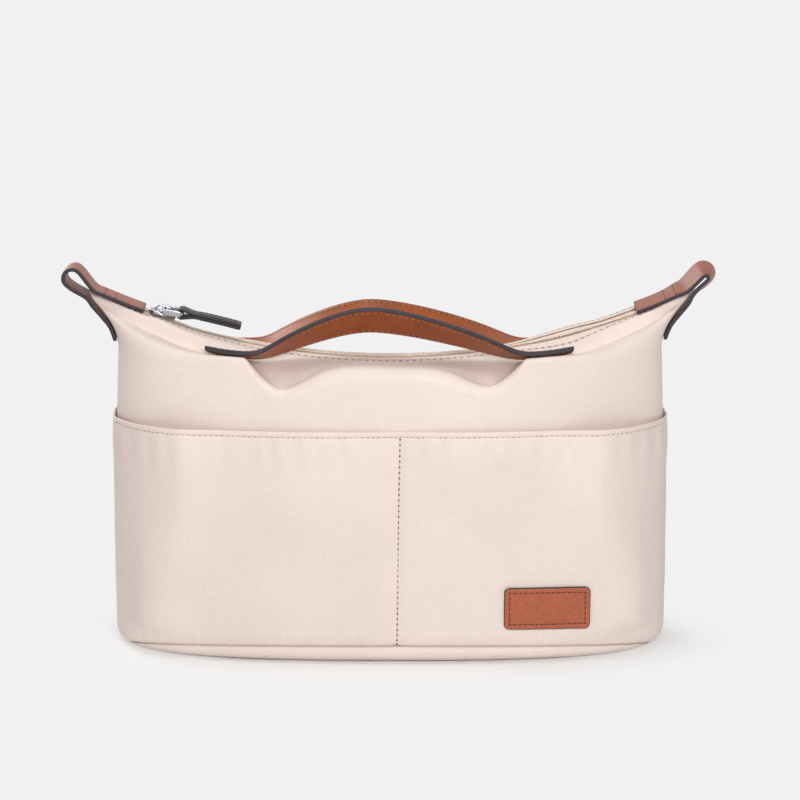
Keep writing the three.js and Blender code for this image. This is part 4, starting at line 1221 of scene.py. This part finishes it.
def cut_area():
    """Area of the base's flat cut, in square metres."""
    x, y, _ = base_loop(-BASE_CUT, 0, SHARES).T
    return abs(np.sum(x * np.roll(y, -1) - y * np.roll(x, -1))) / 2 * MM * MM


base_cloth = dress(base_object(), "bag", "fabric", "base_panel")
cut_area()
for node, material in (("base_board", BOARD), ("base_lining", LINING), ("inner_slip_pocket", LINING)):
    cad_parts[node].data.materials.clear()
    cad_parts[node].data.materials.append(material)


# Label: a bare patch

LABEL_SEAT = 0.2
LABEL_SLANT = 0.02
LABEL_COLUMNS = 57
LABEL_ROWS = 37
LABEL_PAD = 0.45  # how far the face falls at its edges, as a share of the thickness
LABEL_PAD_REACH = 0.9
LABEL_GROOVE = 0.16  # along the stitches
LABEL_GROOVE_REACH = 0.5
LABEL_STITCH_INSET = 2.4
LABEL_STITCH_SINK = 0.12
LABEL_STITCH_SAMPLES = 40
LABEL_SEWING = (2.5, 0.6)


def on_label(dx, dz, lift):
    z = LABEL_CENTRE_HEIGHT + dz - LABEL_SLANT * dx
    share = (LABEL_CENTRE_X + dx) / wall_point(1.0, z)[..., 0]
    at, normal = pockets["front"].at(share, z)
    return at + normal * (LABEL_SEAT + lift)[..., None], normal


def crowded(count):
    """Values from -1 to 1 that crowd at both ends."""
    return np.sin(np.linspace(-math.pi / 2, math.pi / 2, count))


def label_object():
    heights = crowded(LABEL_ROWS) * LABEL_HEIGHT / 2
    over = np.maximum(0, np.abs(heights) - (LABEL_HEIGHT / 2 - LABEL_CORNER))
    half = LABEL_WIDTH / 2 - LABEL_CORNER + np.sqrt(np.maximum(0, LABEL_CORNER ** 2 - over ** 2))
    dx = crowded(LABEL_COLUMNS)[:, None] * half[None, :]
    dz = np.broadcast_to(heights[None, :], dx.shape)
    inside = np.minimum(half[None, :] - np.abs(dx), LABEL_HEIGHT / 2 - np.abs(dz))
    pad = 1 - LABEL_PAD * (1 - rounded(inside, LABEL_PAD_REACH))
    groove = LABEL_GROOVE * bell(inside - LABEL_STITCH_INSET, LABEL_GROOVE_REACH)
    outer, _ = on_label(dx, dz, LABEL_THICKNESS * pad - groove)
    inner, _ = on_label(dx, dz, 0 * dx)
    return sheet_object("label_leather_patch", outer, inner, [LABEL_LEATHER, LABEL_LEATHER, EDGE], border=3)


def label_rows():
    half_x = LABEL_WIDTH / 2 - LABEL_STITCH_INSET
    half_z = LABEL_HEIGHT / 2 - LABEL_STITCH_INSET
    corners = np.array([(-1, -1), (1, -1), (1, 1), (-1, 1), (-1, -1)]) * [half_x, half_z]
    t = np.linspace(0, 1, LABEL_STITCH_SAMPLES)
    lift = np.full(LABEL_STITCH_SAMPLES, LABEL_THICKNESS - LABEL_STITCH_SINK)
    return [on_label(lerp(x0, x1, t), lerp(z0, z1, t), lift)
            for (x0, z0), (x1, z1) in zip(corners, corners[1:])]


dress(label_object(), "bag", "label_leather", "label_patch")
stitch_object("label_stitches", label_rows(), [LABEL_THREAD, BROWN_PAINTED_HOLE_SHADE], "bag", "label_leather",
              *LABEL_SEWING)


# Zip

TAPE_FLAT = SLIDER_WIDTH / 2 + 0.1  # the tape is level under the slider and slopes beyond it
TAPE_SLOPE = 0.28
TAPE_RIPPLE = 0.12
TAPE_RIPPLE_TURN = 9  # of its wave across the tape, in radians
TAPE_COLUMNS = 160
TAPE_ROWS = 9
TAPE_TRIM = 0.2  # how much thinner it is than the solid
COIL_PITCH = 1.3
COIL_RUN = TAB_START + 4  # the teeth run on under the end loops
TOOTH = (3.0, 0.64, 0.9)  # length across the zip, width and height
TOOTH_FACETS = 8
TOOTH_RISE = 0.6


def tape_object(side, roll, mirror):
    """A zip tape, and the grid of its upper face."""
    half_length = EAR_REACH - 2 * PANEL_THICKNESS - CLEARANCE
    x = np.linspace(-half_length, half_length, TAPE_COLUMNS)
    share = np.linspace(0, 1, TAPE_ROWS)
    y = -lerp(ZIP_HALF_SLOT, tape_reach(x)[:, None], share[None, :])
    height = zip_height(x)[:, None] + TAPE_RIPPLE * np.sin(share * TAPE_RIPPLE_TURN)[None, :]
    fall = TAPE_SLOPE * np.maximum(0, -y - TAPE_FLAT) * zip_slope(x)[:, None]
    leaning = roll * zip_roll(x)[:, None] * y
    top = vec(x[:, None] + 0 * y, y, height - fall - leaning - TAPE_RIPPLE)
    low = top - [0, 0, TAPE_THICKNESS - TAPE_TRIM]
    made = sheet_object(f"zip_tape_cloth_{side}", top, low, [TAPE, TAPE, TAPE], mirror)
    return dress(made, "bag", "zip_tape", f"zip_tape_{side}"), top


def coil_object(side, roll, mirror):
    """A row of nylon teeth on the edge of its tape; the two rows mesh at the middle."""
    shift = COIL_PITCH / 2 if mirror else 0
    x = np.arange(-COIL_RUN + shift, COIL_RUN - COIL_PITCH, COIL_PITCH)
    slope = unit(vec(ZIP_RADIUS ** 2 - x ** 2, 0 * x, x * np.sqrt(ZIP_RADIUS ** 2 - x ** 2)))
    across = unit(vec(0 * x, 1, -roll * zip_roll(x)))
    up = unit(np.cross(slope, across))
    seat = vec(x, 0 * x, zip_height(x)) + up * TOOTH_RISE - across * ZIP_HALF_SLOT
    points, faces = beads(seat, across, up, TOOTH, TOOTH_FACETS, TOOTH_FACETS)
    made = new_object(f"zip_teeth_{side}", mirrored(points, mirror), faces, [COIL])
    return dress(made, "bag", "zip_coil", f"zip_coil_{side}")


for side, form, mirror in (("front", FRONT, False), ("rear", REAR, True)):
    tape, tape_grid = tape_object(side, form["roll"], mirror)
    teeth = coil_object(side, form["roll"], mirror)


# Slider and pull

SLIDER_TURN = math.asin(SLIDER_START / ZIP_RADIUS)
SLIDER_NOSE_STEPS = 12
UNDER_BEVEL = 0.4
TOP_BEVEL = 0.45
POST_BEVEL = 0.08
POST_TIP = 0.2  # half of the post's width at its tip
POST_SEAT = 0.2  # how far it stands in both plates
BRIDGE_SEAT = 0.3  # of the bridge's feet in the top plate
BRIDGE_KNEE = 0.8  # height above that plate at which the bridge begins to bend
BRIDGE_SHOULDER = (0.72, 0.25)  # share of the half length, and drop below the peak
BRIDGE_WIDEN = 1.6
BRIDGE_STEPS = 40
LINK_CORNER = 1.2
LINK_PAST = 0.4  # how far the ring reaches past the solid's bars, at both ends
LINK_HALF = PULL_WIDTH / 2 + LINK_GAP + LINK_BAR / 2
LINK_STEPS = 96
LINK_CORNER_STEPS = 6
CHEEK_ROUNDING = 1.0
CHEEK_FLAT = 0.4  # half of the flat of a cheek's ends
CHEEK_INSET = (1.4, 1.2)  # of the middles of the end roundings, at the bridge and at the leather
CHEEK_HALF = LINK_BAR / 2 + 0.15  # of its thickness
CHEEK_CORNER_STEPS = 4
CHEEK_BEVEL = 0.3
PULL_PRESS = 0.12  # the layers are pressed together
PULL_FOLD = (62, 90, 125, 160, 200, 235, 270, 298)  # degrees round the link's far bar
PULL_STEPS = 120
PULL_DROOP = 1.5  # of the pull's free end
PULL_DROOP_POWER = 1.4
PULL_HOLDS = (0, 0.35, 0.7)  # shares of the way from its end to its neck
PULL_NECK_OPEN = 0.05
PULL_STITCH_START = 1  # from the neck
PULL_STITCH_INSET = 1.5
PULL_SEWN = slice(3, -2)  # the steps of a row that are sewn
PULL_SEWING = (2.4, 0.45)


def turned(points, angle):
    """Points turned about y."""
    x, y, z = np.asarray(points, float).T
    return vec(x * math.cos(angle) + z * math.sin(angle), y, z * math.cos(angle) - x * math.sin(angle))


def on_slider(points):
    """From the slider's own frame, x along the zip and z above it."""
    return turned(np.asarray(points, float) - [0, 0, ZIP_RADIUS], SLIDER_TURN) + [0, 0, ZIP_CENTRE_HEIGHT]


def on_pull(points):
    """From the pull's own frame, whose origin is the link's first bar."""
    return on_slider(turned(points, -PULL_RAISE) + [0, 0, LINK_AXIS])


def slider_outline():
    half = SLIDER_LENGTH / 2
    wide = SLIDER_WIDTH / 2
    narrow = SLIDER_TAIL_WIDTH / 2
    nose = [(-2 * s * (1 - s) * half - s * s * half, (1 - s) ** 2 * wide + 2 * s * (1 - s) * wide)
            for s in np.linspace(0, 1, SLIDER_NOSE_STEPS)[1:]]
    back = [(x, -y) for x, y in nose[-2::-1]]
    return [(half, -narrow), (half, narrow), (0, wide)] + nose + back + [(0, -wide)]


def bridge_path():
    half = BRIDGE_LENGTH / 2 - BRIDGE_BAR / 2
    peak = LINK_AXIS + LINK_BAR / 2 + LINK_GAP + BRIDGE_BAR / 2
    share, drop = BRIDGE_SHOULDER
    knots = [(-half, PLATE_TOP - BRIDGE_SEAT), (-half, PLATE_TOP + BRIDGE_KNEE), (-half * share, peak - drop)]
    back = [(-x, z) for x, z in knots[::-1]]
    return spline([(x, 0, z) for x, z in knots + [(0, peak)] + back], BRIDGE_STEPS)


def slider_pieces():
    outline = slider_outline()
    under = plate_object("slider_under_plate", outline, UNDER_TOP - SLIDER_PLATE, UNDER_TOP,
                         UNDER_BEVEL, on_slider)
    top = plate_object("slider_top_plate", outline, PLATE_BOTTOM, PLATE_TOP, TOP_BEVEL, on_slider)
    foot = -SLIDER_LENGTH / 2 + SLIDER_PLATE
    tip = foot + SLIDER_POST_LENGTH
    wide = SLIDER_POST_WIDTH / 2
    post_outline = [(foot, -wide), (tip, -POST_TIP), (tip, POST_TIP), (foot, wide)]
    post = plate_object("slider_post", post_outline, UNDER_TOP - POST_SEAT, PLATE_BOTTOM + POST_SEAT,
                        POST_BEVEL, on_slider)
    bridge = tube_object("slider_bridge", on_slider(bridge_path()), BRIDGE_BAR / 2, widen=BRIDGE_WIDEN)
    for made in (under, post, bridge):
        dress(made, "slider", "metal")
    dress(top, "slider", "metal", "zip_slider")


def quarter_arcs(near, far, side, radius, steps):
    """Outline with four round corners, whose middles lie at near and far in x and at each side."""
    corners = ((far, side, 0), (near, side, 90), (near, -side, 180), (far, -side, 270))
    return [point for x, y, start in corners for point in arc(x, y, radius, start, steps)]


def link_object():
    """The link: a flat ring of rounded bar, its arms beside the leather."""
    path = quarter_arcs(LINK_CORNER - LINK_PAST, LINK_REACH - LINK_CORNER + LINK_PAST,
                        LINK_HALF - LINK_CORNER, LINK_CORNER, LINK_CORNER_STEPS)
    x, y = resampled(np.array(path + path[:1]), LINK_STEPS + 1)[:-1].T
    made = tube_object("pull_ring", on_pull(vec(x, y, 0)), LINK_BAR / 2, closed=True)
    dress(made, "pull", "metal", "pull_link")


def link_cheeks():
    """The flat cheeks that thicken the link's arms."""
    near, far = CHEEK_INSET
    outline = quarter_arcs(near, LINK_REACH - far, CHEEK_FLAT, CHEEK_ROUNDING, CHEEK_CORNER_STEPS)
    for sign, name in ((-1, "front"), (1, "rear")):
        def place(points, middle=sign * LINK_HALF):
            x, z, y = points.T
            return on_pull(vec(x, middle + y, z))

        made = plate_object(f"pull_cheek_{name}", outline, -CHEEK_HALF, CHEEK_HALF, CHEEK_BEVEL, place)
        dress(made, "pull", "metal")


def pull_object():
    """The pull: one leather strip folded round the link's far bar, its two halves sewn together."""
    eye = LINK_BAR / 2 + LINK_GAP
    turn = eye + PULL_LAYER / 2
    layer = PULL_LAYER / 2 - PULL_PRESS
    end = LINK_REACH + PULL_LENGTH
    neck = LINK_REACH + 2 * (eye + PULL_LAYER)
    upper = [(lerp(end, neck, share), 0, layer) for share in PULL_HOLDS]
    upper.append((neck, 0, layer + PULL_NECK_OPEN))
    fold = [(LINK_REACH + turn * math.cos(a), 0, turn * math.sin(a)) for a in np.radians(PULL_FOLD)]
    lower = [(x, y, -z) for x, y, z in upper[::-1]]
    local = spline(upper + fold + lower, PULL_STEPS)
    local[:, 2] -= PULL_DROOP * (np.maximum(0, local[:, 0] - neck) / (end - neck)) ** PULL_DROOP_POWER
    along = unit(np.gradient(local, axis=0))
    across = np.broadcast_to([0.0, 1.0, 0.0], local.shape)
    centres = on_pull(local)
    path = (centres, on_pull(local + across) - centres, on_pull(local + np.cross(along, across)) - centres)
    made = strip_object("pull_leather_strip", path, PULL_WIDTH / 2, PULL_LAYER / 2, [PULL_LEATHER, EDGE])
    dress(made, "pull", "pull_leather", "pull_strap")
    flat = np.where(local[:, 0] > neck + PULL_STITCH_START)[0]
    rows = []
    for layer_steps in (flat[flat < PULL_STEPS // 2], flat[flat >= PULL_STEPS // 2]):
        sewn = layer_steps[PULL_SEWN]
        for edge in (-1, 1):
            offset = edge * (PULL_WIDTH / 2 - PULL_STITCH_INSET)
            rows.append(strip_row([values[sewn] for values in path], offset, -PULL_LAYER / 2))
    # The pull's needle holes get the dark edge dye as painted shade
    stitch_object("pull_stitches", rows, [DARK_THREAD, EDGE], "pull", "pull_leather", *PULL_SEWING)


slider_pieces()
link_object()
link_cheeks()
pull_object()


# Handles

HANDLE_STEPS = 181
HANDLE_STITCH_INSET = 2.0
HANDLE_STITCH_SINK = 0.06
HANDLE_SEWN = slice(3, -3)
HANDLE_SEWING = (3.0, 0.5)
BLEND_FROM = 2.5  # heights above the sewn ends, at which a start and an end point are worked out
BLEND_TO = 14.0


def sewn_section(x, side):
    """Middle of a strap's section on the cloth, and its tilt."""
    shoulder, valley, _, _ = top_points(x / (SHOULDER_WIDTH / 2), {**side, "hollow": 0.0})
    slope = unit(valley - shoulder)
    up = vec(0 * x, -slope[..., 2], slope[..., 1])
    middle = (shoulder + slope * (HANDLE_SETBACK + HANDLE_WIDTH / 2)
              + unit(up) * (SEWN_GAP + HANDLE_THICKNESS / 2))
    return middle, np.arctan2(-slope[..., 2], slope[..., 1])


def handle_path(side):
    """Centres, widths and thicknesses of a strap from its left tip to its right, as on the front."""
    x = np.linspace(-HANDLE_OUTER, HANDLE_OUTER, HANDLE_STEPS)
    middle, tilt = sewn_section(x, side)
    foot = np.where(x < HANDLE_PEAK, -HALF_SPAN, HALF_SPAN)
    end, end_tilt = sewn_section(np.array([HALF_SPAN]), side)
    front_end, _ = sewn_section(np.array([HALF_SPAN]), FRONT)
    arch = np.maximum(0, 1 - np.abs((x - HANDLE_PEAK) / (foot - HANDLE_PEAK)) ** HANDLE_CURVE)
    inner = HANDLE_INNER_GAP + HANDLE_WIDTH / 2 * math.cos(HANDLE_TILT)
    grip = np.abs(x) < HALF_SPAN
    y = np.where(grip, lerp(end[0, 1], -inner, arch), middle[:, 1])
    z = np.where(grip, lerp(end[0, 2], front_end[0, 2] + side["rise"], arch), middle[:, 2])
    tilt = np.where(grip, lerp(end_tilt[0], HANDLE_TILT, arch ** HANDLE_TWIST), tilt)
    curl = np.maximum(0, np.abs(x) - HANDLE_END_MIDDLE) / (HANDLE_END_LENGTH / 2)
    z = z + HANDLE_CURL * curl ** 2
    for _ in range(HANDLE_SMOOTHING):
        for values in (y, z, tilt):
            values[1:-1] = (values[:-2] + 2 * values[1:-1] + values[2:]) / 4
    across = vec(0 * x, np.cos(tilt), -np.sin(tilt))
    up = vec(0 * x, np.sin(tilt), np.cos(tilt))
    return vec(x, y, z), across, up


def handle_object(side, form, mirror):
    path = [mirrored(part, mirror) for part in handle_path(form)]
    strap = strip_object(f"{side}_handle_strap", path, HANDLE_WIDTH / 2, HANDLE_THICKNESS / 2,
                         [LEATHER, EDGE], layers=2)
    sewn = [part[HANDLE_SEWN] for part in path]
    offset = HANDLE_WIDTH / 2 - HANDLE_STITCH_INSET
    height = HANDLE_THICKNESS / 2 - HANDLE_STITCH_SINK
    rows = [strip_row(sewn, edge * offset, face * height) for face in (-1, 1) for edge in (-1, 1)]
    sewing = stitch_object(f"{side}_handle_stitches", rows, [BROWN_THREAD, BROWN_PAINTED_HOLE_SHADE],
                           None, "handle_leather", *HANDLE_SEWING)
    foot, foot_tilt = sewn_section(np.array([HALF_SPAN]), form)
    rise = np.array([0, math.sin(foot_tilt[0]), math.cos(foot_tilt[0])])
    start, end = (mirrored(foot[0] + rise * height, mirror) * MM for height in (BLEND_FROM, BLEND_TO))
    start[0] = end[0] = 0
    for made in (strap, sewing):
        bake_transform(made)
    dress(strap, None, "handle_leather", f"{side}_handle_face", f"{side}_handle_backing",
          f"{side}_handle_left_end", f"{side}_handle_right_end")


handle_object("front", FRONT, False)
handle_object("rear", REAR, True)


# End loops

TAB_STEPS = 150
TAB_UPPER_STEPS = 40  # of these, surely on the upper leg
TAB_LEGS = (0, 0.25, 0.5, 0.75, 0.88)  # shares of each leg at which it is held
TAB_WRAPS = (1, 0.5, 0, -0.5, -1)
TAB_BELOW = (0.62, 0.75)  # share of the length over which the lower leg begins
TAB_TWISTS = (0.15, 0.42)  # and over which the upper leg takes on the loop's full turn
TAB_STITCH_SAMPLES = 30
TAB_STITCH_SINK = 0.08
TAB_SEWING = (2.4, 0.8)


def heading(angle):
    return np.array([math.cos(angle), 0, math.sin(angle)])


def tab_knots(sign, radius, reach):
    """Points that a loop passes through: along the zip, round the eye and down the side seam."""
    steepest = math.asin(EAR_REACH / ZIP_RADIUS)
    lift = PANEL_LIFT + (SEWN_GAP + TAB_THICKNESS / 2) / math.cos(steepest)
    column, rows = shell_columns(np.array([sign]), FRONT)
    side = resampled(column[0][rows <= STRIP_ROW] * [sign, 0, 1], ROW_SAMPLES)
    lengths = length_along(side)
    ways = unit(np.gradient(side, axis=0))

    def upper(x):
        return np.array([x, 0, float(zip_height(sign * x)) + lift])

    def lower(t):
        wanted = lengths[-1] - TAB_LOWER_LEG * (1 - t)
        way = sampled(ways, lengths, wanted)
        distance = SEWN_GAP + TAB_THICKNESS / 2 + PANEL_THICKNESS * t
        return sampled(side, lengths, wanted) + np.array([way[2], 0, -way[0]]) * distance

    tip = (upper(EAR_REACH) + lower(1)) / 2
    middle = tip + heading(TAB_LOOP_AIM) * reach
    knots = [upper(lerp(TAB_START, EAR_REACH, t)) for t in TAB_LEGS]
    knots += [middle + heading(TAB_LOOP_AIM + share * TAB_LOOP_WRAP) * radius for share in TAB_WRAPS]
    return knots + [lower(t) for t in TAB_LEGS[::-1]]


def tab_path(sign, radius, reach, twist):
    """Centres, widths and thicknesses of a loop, as on the right, and the bend of its edges."""
    centres = spline(tab_knots(sign, radius, reach), TAB_STEPS)
    along = unit(np.gradient(centres, axis=0))
    across = np.broadcast_to([0.0, 1.0, 0.0], centres.shape)
    up = np.cross(along, across)
    share = np.arange(TAB_STEPS) / (TAB_STEPS - 1)
    below = smoothstep(share, *TAB_BELOW)
    leaning = lerp(TAB_LEAN, 1, smoothstep(share, *TAB_TWISTS)) * (1 - below)
    angle = (twist * leaning)[:, None]
    turned_across = across * np.cos(angle) + up * np.sin(angle)
    turned_up = up * np.cos(angle) - across * np.sin(angle)
    return (centres, turned_across, turned_up), -TAB_CUP * below


def tab_object(side, sign):
    flip = np.array([sign, 1, 1])
    path, cup = tab_path(sign, *TAB_LOOPS[side])
    centres, across, up = path
    half = TAB_WIDTH / 2 - TAB_STITCH_INSET
    offsets = np.linspace(-half, half, TAB_STITCH_SAMPLES)[:, None]
    rows = []
    for x in TAB_STITCH_X:
        k = int(np.argmin(np.abs(centres[:TAB_UPPER_STEPS, 0] - x)))
        row = centres[k] + offsets * across[k] + up[k] * (TAB_THICKNESS / 2 - TAB_STITCH_SINK)
        rows.append((row * flip, np.broadcast_to(up[k] * flip, row.shape)))
    made = strip_object(f"{side}_tab_strap", [part * flip for part in path], TAB_WIDTH / 2, TAB_THICKNESS / 2,
                        [TAB_LEATHER, EDGE], cup=cup)
    dress(made, "bag", "tab_leather", f"{side}_end_tab")
    stitch_object(f"{side}_tab_stitches", rows, [LABEL_THREAD, BROWN_PAINTED_HOLE_SHADE], "bag", "tab_leather", *TAB_SEWING)


tab_object("right", 1.0)
tab_object("left", -1.0)


# Stage, light and camera

BACKGROUND = srgb(241, 241, 241)
TARGET = np.array([0, 0, 80.0])
CAMERA_DISTANCE = 1500
CAMERA_RISE = math.radians(13.5)
CAMERA_YAW = math.radians(-0.5)
CAMERA_SENSOR = 36
CAMERA_SIGHT = 50  # how far it sees, in metres
PIXELS = 800
PIXELS_PER_MM = 2.09
TARGET_PIXEL = (390, 475)
WORLD_STRENGTH = 0.15
LAMPS = (  # name, place, aim, width and watts
    ("key", (0.2, -1.45, 0.75), (0, 0, 0.08), 0.6, 15.5),
    ("top", (-0.2, -0.1, 1.6), (0, 0, 0.1), 1.1, 10),
    ("back", (-1.1, 1.3, 1.0), (0, 0, 0.08), 1.0, 13),
)
FLOOR_REACH = 4000
FLOOR_SQUEEZE = (0.52, 1, 1)  # the pale patch of floor is wider than deep
FLOOR_FADE = (0.05, 0.088)  # metres from its middle


def make_camera():
    data = bpy.data.cameras.new("camera")
    camera = linked("camera", data)
    forward = np.array([math.sin(CAMERA_YAW) * math.cos(CAMERA_RISE),
                        math.cos(CAMERA_YAW) * math.cos(CAMERA_RISE), -math.sin(CAMERA_RISE)])
    right = unit(np.cross(forward, [0, 0, 1]))
    up = np.cross(right, forward)
    focal = PIXELS_PER_MM * CAMERA_DISTANCE
    aim = unit(forward + right * (PIXELS / 2 - TARGET_PIXEL[0]) / focal
               + up * (TARGET_PIXEL[1] - PIXELS / 2) / focal)
    camera.location = Vector((TARGET - forward * CAMERA_DISTANCE) * MM)
    camera.rotation_euler = Vector(aim).to_track_quat("-Z", "Y").to_euler()
    data.sensor_width = CAMERA_SENSOR
    data.lens = focal / PIXELS * CAMERA_SENSOR
    data.clip_end = CAMERA_SIGHT
    bpy.context.scene.camera = camera


def make_world():
    """A weak even light, and a plain background where it is looked at."""
    world = bpy.data.worlds.new("studio")
    bpy.context.scene.world = world
    world.use_nodes = True
    tree = Nodes(world.node_tree)
    tree.nodes.clear()
    light = tree.node("ShaderNodeBackground", {"Color": WHITE, "Strength": WORLD_STRENGTH}).outputs[0]
    seen = tree.node("ShaderNodeBackground", {"Color": BACKGROUND}).outputs[0]
    rays = tree.node("ShaderNodeLightPath").outputs
    shown = rays["Is Camera Ray"]
    for kind in ("Is Transmission Ray", "Is Glossy Ray"):
        shown = tree.node("ShaderNodeMath", {0: shown, 1: rays[kind]}, operation="MAXIMUM").outputs[0]
    mix = tree.node("ShaderNodeMixShader", {0: shown, 1: light, 2: seen}).outputs[0]
    tree.node("ShaderNodeOutputWorld", {0: mix})


def make_lamp(name, place, aim, width, watts):
    data = bpy.data.lights.new(name, "AREA")
    data.shape = "DISK"
    data.size = width
    data.energy = watts
    lamp = linked(name, data)
    lamp.location = place
    lamp.rotation_euler = (Vector(aim) - Vector(place)).to_track_quat("-Z", "Y").to_euler()


def make_floor():
    """A pale floor that turns into the plain background away from the object."""
    corners = np.array([(-1, -1, 0), (1, -1, 0), (1, 1, 0), (-1, 1, 0)]) * FLOOR_REACH
    paint = Paint("studio_floor", 0.9, Specular_IOR_Level=0.0)
    place = paint.coordinates("Object")
    speck = paint.noise(place, 0.03, 2.0)
    paint.colour(paint.ramp(speck, 0.3, 0.7, srgb(247, 247, 247), srgb(249, 249, 249)))
    squeezed = paint.node("ShaderNodeVectorMath", {0: place, 1: FLOOR_SQUEEZE},
                          operation="MULTIPLY").outputs[0]
    away = paint.node("ShaderNodeVectorMath", {0: squeezed}, operation="LENGTH").outputs["Value"]
    near, far = FLOOR_FADE
    fade = paint.node("ShaderNodeMapRange", {"Value": away, "From Min": near, "From Max": far},
                      interpolation_type="SMOOTHSTEP").outputs[0]
    plain = paint.node("ShaderNodeEmission", {"Color": BACKGROUND}).outputs[0]
    mix = paint.node("ShaderNodeMixShader", {0: fade, 1: paint.shader.outputs[0], 2: plain})
    paint.links.new(mix.outputs[0], paint.nodes["Material Output"].inputs["Surface"])
    new_object("floor", corners, [(0, 1, 2, 3)], [paint.material])


make_camera()
make_world()
for lamp in LAMPS:
    make_lamp(*lamp)
make_floor()
bpy.context.scene.view_settings.view_transform = "Standard"
